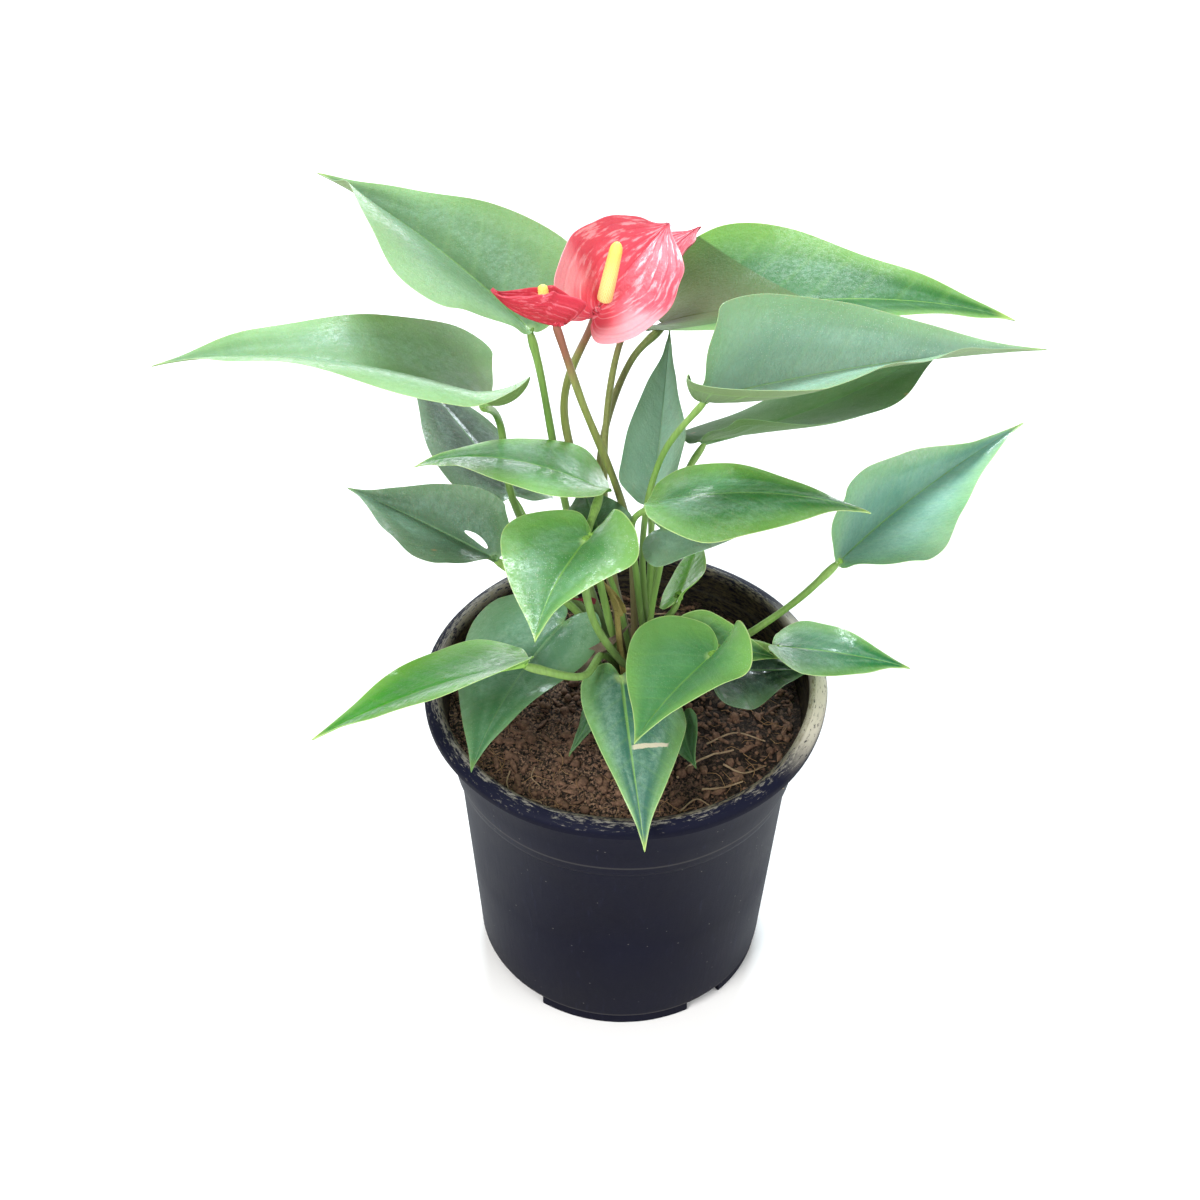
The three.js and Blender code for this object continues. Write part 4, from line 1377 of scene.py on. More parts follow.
@dataclass(frozen=True)
class Spadix:
    """The fleshy spike of a flower, with its florets in two crossing spirals."""

    name: str
    form: Form
    length: float
    radius: float
    heading: float
    pitch: float
    rise: float = 0.0
    seat: float = 3.2
    sunk: float = 1.2
    florets: int = 9
    floret_pitch: float = 1.5
    floret_height: float = 0.16

    def build(self, finish: bpy.types.Material) -> bpy.types.Object:
        """Models the spike and hands it over.

        Args:
            finish: Its material.

        Returns:
            The piece.
        """
        deselect_all()
        rings = 72
        bpy.ops.mesh.primitive_uv_sphere_add(segments=54, ring_count=rings, radius=1)
        piece = name_active(f"flower_{self.name}_spadix")
        found = points_of(piece)
        turn = np.arctan2(found[:, 1], found[:, 0])
        way = 1 - np.arccos(np.clip(found[:, 2], -1, 1)) / math.pi
        around = np.hypot(found[:, 0], found[:, 1]) > 1e-6
        bulge = np.sqrt(np.clip(1 - np.clip((way - 0.86) / 0.14, 0, 1) ** 2, 0, 1))
        foot = np.sqrt(np.clip(1 - np.clip((0.05 - way) / 0.05, 0, 1) ** 2, 0, 1))
        radius = self.radius * (1 - 0.22 * way**1.5) * bulge * foot
        along = way * (self.length + self.sunk) - self.sunk
        first = self.florets * turn + 2 * math.pi * along / (2 * self.floret_pitch)
        second = self.florets * turn - 2 * math.pi * along / (2 * self.floret_pitch)
        lattice = (np.cos(first) * np.cos(second)) ** 2
        radius = radius + self.floret_height * (np.sqrt(lattice) - 0.5) * bulge * foot * around
        axis = Vector((0, 0, 1)).rotation_difference(Vector(self.axis())).to_matrix()
        flat = np.stack([radius * np.cos(turn), radius * np.sin(turn), along], axis=-1)
        places = flat @ np.array(axis).T + self.foot()
        move_points(piece, places * MM)
        paint(piece, "along", way)
        paint(piece, "floret", lattice)
        piece.data.materials.append(finish)
        mend(piece)
        smooth(piece, 180.0)
        return settle(piece, "spadix", f"spadix_{self.name}")

    def axis(self) -> Point:
        """The way that the spike points."""
        heading, pitch = math.radians(self.heading), math.radians(self.pitch)
        return tuple(heading_and_pitch(np.array(heading), np.array(pitch)))

    def foot(self) -> np.ndarray:
        """Where the spike stands on its spathe."""
        along, _, up = (way[0] for way in self.form.axes(np.zeros(1)))
        square = float(np.array(self.axis()) @ up)
        away = 1.0 + self.radius * math.sqrt(max(0.0, 1 - square**2))
        return np.array(self.form.joint) + along * self.seat + up * away + np.array(self.axis()) * self.rise


@dataclass(frozen=True)
class Flower:
    """One flower: its spathe, spadix and peduncle."""

    name: str
    form: Form
    spathe: SpatheFinish
    spadix: Spadix
    stem_radius: float
    puff: float = 0.2
    wave: float = 0.012

    def build(self, stem: bpy.types.Material, spike: bpy.types.Material) -> list[bpy.types.Object]:
        """Models the flower.

        Args:
            stem: The peduncle's material.
            spike: The spadix's material.

        Returns:
            The three pieces.
        """
        wax = self.spathe.make()
        blade = Blade(
            f"flower_{self.name}_spathe", self.form, veins=Veins.PARALLEL, thickness=0.7, ridge=0.5,
            puff=self.puff, wave=self.wave, rows=90, columns=30,
        )
        return [
            blade.build(wax, wax, "spathe", f"spathe_{self.name}"),
            self.spadix.build(spike),
            Stem(f"flower_{self.name}_stem", self.form, self.stem_radius, swelling=0.05).build(
                stem, "peduncle", f"peduncle_{self.name}"
            ),
        ]


# ---- Pot ------------------------------------------------------------------------------------------------


@dataclass(frozen=True)
class Pot:
    """The nursery pot: a tapered body, a wide collar with a rolled lip, a notched foot and drain holes."""

    sides: int = 144
    profile: tuple[Pair, ...] = (
        (12, 0), (13, 5), (52.4, 5), (52.4, 0.6), (53, 0), (54.8, 0), (55.4, 0.5), (55.4, 4.8), (55.9, 5.3),
        (56.25, 6.2), (59.6, 52), (62.9, 97), (63.3, 97.9), (64.2, 98.7), (64.9, 101), (67.3, 114),
        (70.0, 127.6),
        (70.6, 129.2), (71.6, 130), (74.2, 130.1), (74.9, 130.7), (75, 132.6), (74.6, 133.6), (73.4, 134.4),
        (71.4, 135.6), (70, 136), (69, 135.6), (68.4, 134.6), (68.2, 133), (68.2, 129), (65.4, 114),
        (62.2, 98.4),
        (61.2, 96.6), (57.8, 52), (54.6, 8.6), (53.6, 7.5),
    )
    notches: tuple[Pair, ...] = ((37, 17), (-56, 47), (112, 17), (180, 47), (-118, 17))
    foot_radius: float = 53.9
    foot_height: float = 5.0
    notch_end: float = 62.0
    drains: int = 6
    drain_radius: float = 4.5
    drain_circle: float = 36.0
    warp: float = 0.45
    height: float = 136.0
    lip_bottom: float = 128.0

    def build(self, finish: bpy.types.Material) -> bpy.types.Object:
        """Models the pot and hands it over.

        Args:
            finish: The plastic's material.

        Returns:
            The piece.
        """
        piece = lathe("pot_body", self.profile, self.sides)
        mend(piece)
        for cutter in [*self.notch_cutters(), *self.drain_cutters()]:
            finish_with(piece, "BOOLEAN", operation="DIFFERENCE", solver="EXACT", object=cutter)
            bpy.data.objects.remove(cutter)
        self.bow(piece)
        piece.data.materials.clear()
        piece.data.materials.append(finish)
        smooth(piece, 40.0)
        return settle(piece, "pot_plastic", "pot")

    def notch_cutters(self) -> list[bpy.types.Object]:
        """Blocks across the foot ring, one for each notch."""
        made = []
        for number, (middle, width) in enumerate(self.notches):
            deselect_all()
            half = self.foot_radius * math.sin(math.radians(width / 2))
            turn = math.radians(middle - 90)
            reach = self.foot_radius * math.cos(math.radians(width / 2)) - 4
            bpy.ops.mesh.primitive_cube_add(size=1)
            cutter = name_active(f"notch_cutter_{number}")
            size = Matrix.Diagonal(
                ((self.notch_end - reach) * MM, 2 * half * MM, (self.foot_height + 1) * MM, 1)
            )
            place = Matrix.Translation(
                ((reach + self.notch_end) / 2 * MM, 0, (self.foot_height - 1) / 2 * MM)
            )
            cutter.data.transform(Matrix.Rotation(turn, 4, "Z") @ place @ size)
            made.append(cutter)
        return made

    def drain_cutters(self) -> list[bpy.types.Object]:
        """Short round bars through the floor, one for each drain hole."""
        made = []
        for number in range(self.drains):
            deselect_all()
            bpy.ops.mesh.primitive_cylinder_add(vertices=32, radius=self.drain_radius * MM, depth=8 * MM)
            cutter = name_active(f"drain_cutter_{number}")
            turn = (number + 0.5) / self.drains * 2 * math.pi
            place = (
                self.drain_circle * math.cos(turn), self.drain_circle * math.sin(turn), self.foot_height + 1.2
            )
            cutter.data.transform(Matrix.Translation(Vector(place) * MM))
            made.append(cutter)
        return made

    def bow(self, piece: bpy.types.Object) -> None:
        """Bows the walls a little out of round, more towards the lip, as thin old plastic is."""
        places = points_of(piece)
        turn = np.arctan2(places[:, 1], places[:, 0])
        radius = np.hypot(places[:, 0], places[:, 1])
        high = np.clip(places[:, 2] / (self.height * MM), 0, 1) ** 2 * (radius > 50 * MM)
        waves = np.sin(2 * turn + 0.6) + 0.45 * np.sin(5 * turn) + 0.25 * np.sin(9 * turn + 1)
        out = self.warp * waves * high
        places[:, :2] *= (1 + out * MM / np.maximum(radius, 1e-6))[:, None]
        places[:, 2] += 0.25 * MM * np.sin(3 * turn + 2) * high * (places[:, 2] > self.lip_bottom * MM)
        move_points(piece, places)


# ---- Potting mix ----------------------------------------------------------------------------------------


@dataclass(frozen=True)
class PottingMix:
    """The potting mix: a lumpy bed with crumbs, fibres and a few twigs on it."""

    edge_height: float = 120.0
    middle_height: float = 126.0
    middle_radius: float = 28.0
    slope_end: float = 66.0
    rim: float = 66.2
    bottom: float = 7.8
    cells: int = 150
    crumbs: int = 1700
    fibres: int = 170
    seed: int = 11
    walls: tuple[Pair, ...] = ((65.4, 118), (61.6, 98.6), (60.2, 95.5), (53.2, 8.6), (52.4, 7.8))

    def height(self, x: float, y: float) -> float:
        """The bed's height at a place, in millimetres."""
        radius = math.hypot(x, y)
        share = min(max((radius - self.middle_radius) / (self.slope_end - self.middle_radius), 0), 1)
        ease = share * share * (3 - 2 * share)
        slope = self.middle_height + (self.edge_height - self.middle_height) * ease
        lumps = noise.fractal(Vector((x / 11, y / 11, 4.0)), 0.9, 2.1, 5)
        fine = noise.noise(Vector((x / 1.9, y / 1.9, 9.0)))
        return slope + 1.7 * lumps + 0.75 * fine - 0.5

    def build(self, mix: bpy.types.Material, chips: bpy.types.Material, hair: bpy.types.Material,
              wood: bpy.types.Material) -> list[bpy.types.Object]:
        """Models the mix and what lies on it.

        Args:
            mix: The bed's material.
            chips: The crumbs' material.
            hair: The fibres' material.
            wood: The twigs' material.

        Returns:
            The pieces.
        """
        pick = random.Random(self.seed)
        bed = self.bed()
        pieces = [(bed, mix, ("potting_mix",)), (self.crumb_piece(pick), chips, ()),
                  (self.fibre_piece(pick), hair, ()), (self.twig_piece(), wood, ())]
        done = []
        for piece, finish, nodes in pieces:
            piece.data.materials.clear()
            piece.data.materials.append(finish)
            smooth(piece, 70.0)
            done.append(settle(piece, "potting_mix", *nodes))
        return done

    def bed(self) -> bpy.types.Object:
        """The bed itself: a square grid pressed into a disc, with walls and a bottom below it."""
        deselect_all()
        bpy.ops.mesh.primitive_grid_add(x_subdivisions=self.cells, y_subdivisions=self.cells, size=2)
        piece = name_active("mix_bed")
        found = points_of(piece)
        x = found[:, 0] * np.sqrt(1 - found[:, 1] ** 2 / 2) * self.rim
        y = found[:, 1] * np.sqrt(1 - found[:, 0] ** 2 / 2) * self.rim
        z = np.array([self.height(a, b) for a, b in zip(x, y)])
        move_points(piece, np.stack([x, y, z], axis=-1) * MM)
        make_active(piece)
        bpy.ops.object.mode_set(mode="EDIT")
        bpy.ops.mesh.select_mode(type="EDGE")
        bpy.ops.mesh.select_all(action="DESELECT")
        bpy.ops.mesh.select_non_manifold()
        radius, height = self.rim, self.edge_height
        for next_radius, next_height in self.walls:
            extrude_ring(radius, height, next_radius, next_height)
            radius, height = next_radius, next_height
        bpy.ops.mesh.edge_face_add()
        bpy.ops.mesh.select_all(action="SELECT")
        bpy.ops.mesh.normals_make_consistent(inside=False)
        bpy.ops.object.mode_set(mode="OBJECT")
        self.level(piece)
        return piece

    def level(self, piece: bpy.types.Object) -> None:
        """Brings each ring of the walls to its own height, which the lumps at the rim had carried down."""
        places = points_of(piece)
        radius = np.hypot(places[:, 0], places[:, 1]) / MM
        for wall_radius, height in self.walls[1:]:
            ring = (np.abs(radius - wall_radius) < 0.02) & (places[:, 2] < 0.112)
            places[ring, 2] = height * MM
        move_points(piece, places)

    def spot(self, pick: random.Random, most: float = 63.5) -> tuple[float, float]:
        """A place picked on the bed, in millimetres."""
        radius = most * math.sqrt(pick.random())
        turn = pick.uniform(0, 2 * math.pi)
        return radius * math.cos(turn), radius * math.sin(turn)

    def crumb_piece(self, pick: random.Random) -> bpy.types.Object:
        """Loose crumbs of peat and bark, from four patterns."""
        patterns = []
        squashes = ((1.0, 0.8, 0.6), (1.3, 0.7, 0.4), (0.9, 0.9, 0.75), (1.8, 0.5, 0.3))
        for number, squash in enumerate(squashes):
            deselect_all()
            bpy.ops.mesh.primitive_ico_sphere_add(subdivisions=2, radius=1)
            pattern = name_active(f"crumb_{number}")
            for vertex in pattern.data.vertices:
                lump = 1 + 0.35 * noise.noise(vertex.co * 1.7 + Vector((number * 7.0, 0, 0)))
                vertex.co = Vector(a * b for a, b in zip(vertex.co * lump, squash)) * MM
            finish_with(pattern, "DECIMATE", ratio=0.5)
            patterns.append(pattern)
        spots = []
        for _ in range(self.crumbs):
            x, y = self.spot(pick)
            size = pick.uniform(0.5, 1.1) if pick.random() < 0.75 else pick.uniform(1.1, 2.3)
            place = Matrix.Translation(Vector((x, y, self.height(x, y) + 0.25 * size)) * MM)
            turn = Matrix.Rotation(pick.uniform(0, 6.28), 4, "Z")
            turn = turn @ Matrix.Rotation(pick.uniform(-0.6, 0.6), 4, "X")
            spots.append((pick.randrange(4), place @ turn @ Matrix.Scale(size, 4)))
        return scatter("mix_crumbs", patterns, spots)

    def fibre_piece(self, pick: random.Random) -> bpy.types.Object:
        """Coir fibres, from three patterns."""
        patterns = []
        for number, (length, bend) in enumerate(((9.0, 1.4), (13.0, -2.4), (6.0, 0.8))):
            way = np.linspace(-0.5, 0.5, 7)
            route = np.stack(
                [way * length, bend * np.cos(way * 4.2), 0.35 * np.cos(way * 9 + number)], axis=-1
            )
            patterns.append(tube(f"fibre_{number}", route, 0.13 * (1 - 0.5 * np.abs(way)), sides=4))
        spots = []
        for _ in range(self.fibres):
            x, y = self.spot(pick, 60.0)
            place = Matrix.Translation(Vector((x, y, self.height(x, y) + 0.7)) * MM)
            turn = Matrix.Rotation(pick.uniform(0, 6.28), 4, "Z")
            turn = turn @ Matrix.Rotation(pick.uniform(-0.12, 0.12), 4, "Y")
            spots.append((pick.randrange(3), place @ turn @ Matrix.Scale(pick.uniform(0.6, 1.3), 4)))
        return scatter("mix_fibres", patterns, spots)

    def twig_piece(self) -> bpy.types.Object:
        """The twigs and long pale roots that lie on the bed, placed as the plant shows them."""
        lying = (
            ((19, -38), (27, -30), (40, -24), 0.5), ((36, -31), (43, -34), (52, -28), 0.4),
            ((28, -42), (36, -41), (43, -38), 0.45), ((20, -52), (26, -47), (31, -49), 0.35),
            ((48, -44), (53, -40), (58, -40), 0.3), ((-42, -34), (-43, -39), (-41, -46), 0.3),
            ((-33, -33), (-34, -38), (-31, -42), 0.28), ((-34, -47), (-30, -50), (-33, -52), 0.28),
            ((30, -22), (41, -16), (52, -18), 0.35), ((33, 30), (40, 36), (48, 30), 0.4),
            ((-40, 30), (-34, 38), (-22, 44), 0.4), ((-8, 52), (4, 48), (16, 51), 0.35),
        )
        made = []
        for number, (start, middle, end, radius) in enumerate(lying):
            points = [(x, y, self.height(x, y) + radius + 0.5) for x, y in (start, middle, end)]
            route = spline(points, np.linspace(0, 1, 12))
            route[:, 2] = [max(z, self.height(x, y) + radius * 0.8) for x, y, z in route]
            radii = radius * (1 - 0.35 * np.linspace(0, 1, 12)) * (1 + 0.12 * np.sin(np.arange(12) * 2.1))
            made.append(tube(f"twig_{number}", route, radii, sides=6))
        return join("mix_twigs", made)


# ---- Crown ----------------------------------------------------------------------------------------------


@dataclass(frozen=True)
class Crown:
    """The root crown: a rough mound with old petiole stubs, papery sheaths and withered bits."""

    middle: Point = (5.0, 0.0, 124.0)
    size: Point = (13.0, 13.0, 11.0)
    stubs: tuple[tuple[float, float, float, float], ...] = (
        (200, 10, 17, 2.0), (265, 9, 15, 2.2), (320, 11, 14, 1.8), (20, 9, 16, 1.9), (80, 10, 14, 2.1),
        (140, 9, 18, 1.7), (235, 4, 21, 1.9), (350, 3, 19, 1.6),
    )
    stub_foot: float = 128.0
    stalk: tuple[Point, ...] = ((2.0, -7.0, 128.0), (-2.0, -10.0, 157.0), (-4.0, -10.0, 181.0))

    def mound(self) -> bpy.types.Object:
        """The mound with the stubs, as one piece."""
        deselect_all()
        bpy.ops.mesh.primitive_ico_sphere_add(subdivisions=5, radius=1)
        mound = name_active("crown_mound")
        for vertex in mound.data.vertices:
            lump = 1 + 0.16 * noise.fractal(vertex.co * 3.1, 0.8, 2.0, 4)
            grown = Vector(a * b for a, b in zip(vertex.co * lump, self.size))
            vertex.co = (grown + Vector(self.middle)) * MM
        parts = [mound]
        for number, (turn, out, high, radius) in enumerate(self.stubs):
            heading = math.radians(turn)
            east, north = out * 0.6 * math.cos(heading), out * 0.6 * math.sin(heading)
            start = Vector((self.middle[0] + east, north, self.stub_foot))
            end = start + Vector((out * 0.5 * math.cos(heading), out * 0.5 * math.sin(heading), high))
            middle = start.lerp(end, 0.5) + Vector((0.8 * math.sin(turn), 0.8 * math.cos(turn), 0))
            route = spline([tuple(start), tuple(middle), tuple(end)], np.linspace(0, 1, 14))
            way = np.linspace(0, 1, 14)
            parts.append(
                tube(f"stub_{number}", route, radius * (1.25 - 0.35 * way + 0.05 * np.sin(way * 21)), 10)
            )
        return join("crown_mound", parts)

    def build(self, bark: bpy.types.Material, sheath: bpy.types.Material, withered: bpy.types.Material,
              bract: bpy.types.Material) -> list[bpy.types.Object]:
        """Models the crown and hands it over.

        Args:
            bark: The mound's material.
            sheath: The papery sheaths' material.
            withered: The dead leaf's material.
            bract: The dark red bract's material.

        Returns:
            The pieces.
        """
        mound = self.mound()
        mound.data.materials.clear()
        mound.data.materials.append(bark)
        smooth(mound, 60.0)
        stalk = tube("crown_stalk", spline(self.stalk, np.linspace(0, 1, 24)), np.linspace(1.3, 1.0, 24), 10)
        stalk.data.materials.append(sheath)
        smooth(stalk, 60.0)
        done = [settle(mound, "crown", "crown"), settle(stalk, "crown")]
        scales = (
            ("sheath_front", (1, -9, 133), 250, 62, 17, 60, sheath),
            ("sheath_left", (-6, -3, 132), 190, 60, 16, 60, sheath),
            ("sheath_right", (16, -4, 132), 335, 58, 15, 60, sheath),
            ("sheath_rear", (8, 10, 132), 80, 60, 18, 60, sheath),
            ("sheath_high", (-4, -10, 179), 150, 74, 17, 66, sheath),
            ("bract_red", (-12, -9, 183), 165, 15, 8, 50, bract),
            ("leaf_withered", (-14, -11, 151), 5, 58, 26, 55, withered),
            ("leaf_dead", (-13, -12, 150), 300, 20, 13, 50, withered),
        )
        for name, joint, heading, pitch, length, fold, finish in scales:
            form = Form(
                joint=joint, heading=heading, pitch=pitch, droop=-12, sweep=20, roll=0, twist=15,
                length=length,
                width=(0.75, 0.8), fold=(fold, fold), curl=(30, 20), lift=(0, 0), root=(0, 0),
                via=((0, 0, 0), (0, 0, 0)),
            )
            blade = Blade(name, form, thickness=0.4, ridge=0.1, puff=0.15, wave=0.02, rows=30, columns=8)
            done.append(blade.build(finish, finish, "crown"))
        return done


# ---- Stage ----------------------------------------------------------------------------------------------


@dataclass(frozen=True)
class Lamp:
    """A soft square light that points at the plant."""

    name: str
    place: Point
    power: float
    size: float
    colour: Colour = (1.0, 1.0, 1.0)

    def build(self, target: Vector) -> None:
        """Adds the light."""
        light = bpy.data.lights.new(self.name, "AREA")
        light.energy, light.size, light.color = self.power, self.size, self.colour
        lamp = bpy.data.objects.new(self.name, light)
        bpy.context.scene.collection.objects.link(lamp)
        lamp.location = self.place
        lamp.rotation_euler = (target - Vector(self.place)).to_track_quat("-Z", "Y").to_euler()


@dataclass(frozen=True)
class Stage:
    """The floor, the lights and the camera."""

    floor_size: float = 8.0
    camera_place: Point = (-10.0, -632.1, 767.4)
    camera_pitch: float = 43.09
    camera_roll: float = 0.82
    lens: float = 72.0
    sensor: float = 36.0
    lamps: tuple[Lamp, ...] = (
        Lamp("key", (-0.9, -1.1, 1.5), 34.0, 0.8, (1.0, 0.985, 0.96)),
        Lamp("sky", (0.1, 1.6, 1.5), 62.0, 1.0, (0.84, 0.94, 1.0)),
        Lamp("fill", (1.3, -1.1, 1.1), 19.0, 1.4),
    )
    ambient: float = 0.55

    def build(self) -> None:
        """Sets up the floor, the lights, the world and the camera."""
        self.floor()
        for lamp in self.lamps:
            lamp.build(Vector((0, 0, 0.17)))
        world = bpy.data.worlds.new("soft_room")
        bpy.context.scene.world = world
        world.use_nodes = True
        background = world.node_tree.nodes["Background"]
        background.inputs["Color"].default_value = (1.0, 1.0, 1.0, 1.0)
        background.inputs["Strength"].default_value = self.ambient
        self.camera()
        bpy.context.scene.view_settings.view_transform = "Standard"

    def floor(self) -> None:
        """Adds the plain pale floor."""
        deselect_all()
        bpy.ops.mesh.primitive_plane_add(size=self.floor_size)
        piece = name_active("floor")
        graph, shader = new_material("floor_paper", Coat(specular=0.2))
        shade = graph.noise(graph.place(), 2.0, 2.0)
        graph.feed(shader.inputs["Base Color"], graph.mix(shade, (0.88, 0.88, 0.88), (0.9, 0.9, 0.9)))
        graph.feed(shader.inputs["Roughness"], graph.plus(0.75, graph.times(shade, 0.1)))
        piece.data.materials.append(bpy.data.materials["floor_paper"])

    def camera(self) -> None:
        """Adds the camera at the photograph's angle."""
        lens = bpy.data.cameras.new("camera")
        lens.lens, lens.sensor_width, lens.sensor_fit = self.lens, self.sensor, "HORIZONTAL"
        lens.clip_start, lens.clip_end = 0.01, 50.0
        camera = bpy.data.objects.new("camera", lens)
        bpy.context.scene.collection.objects.link(camera)
        pitch, roll = math.radians(self.camera_pitch), math.radians(self.camera_roll)
        ahead = Vector((0, math.cos(pitch), -math.sin(pitch)))
        right = Vector((1, 0, 0))
        up = right.cross(ahead)
        turned_right = right * math.cos(roll) + up * math.sin(roll)
        turned_up = up * math.cos(roll) - right * math.sin(roll)
        turned = Matrix((turned_right, turned_up, -ahead)).transposed()
        camera.matrix_world = Matrix.Translation(Vector(self.camera_place) * MM) @ turned.to_4x4()
        bpy.context.scene.camera = camera


# ---- The plant ------------------------------------------------------------------------------------------


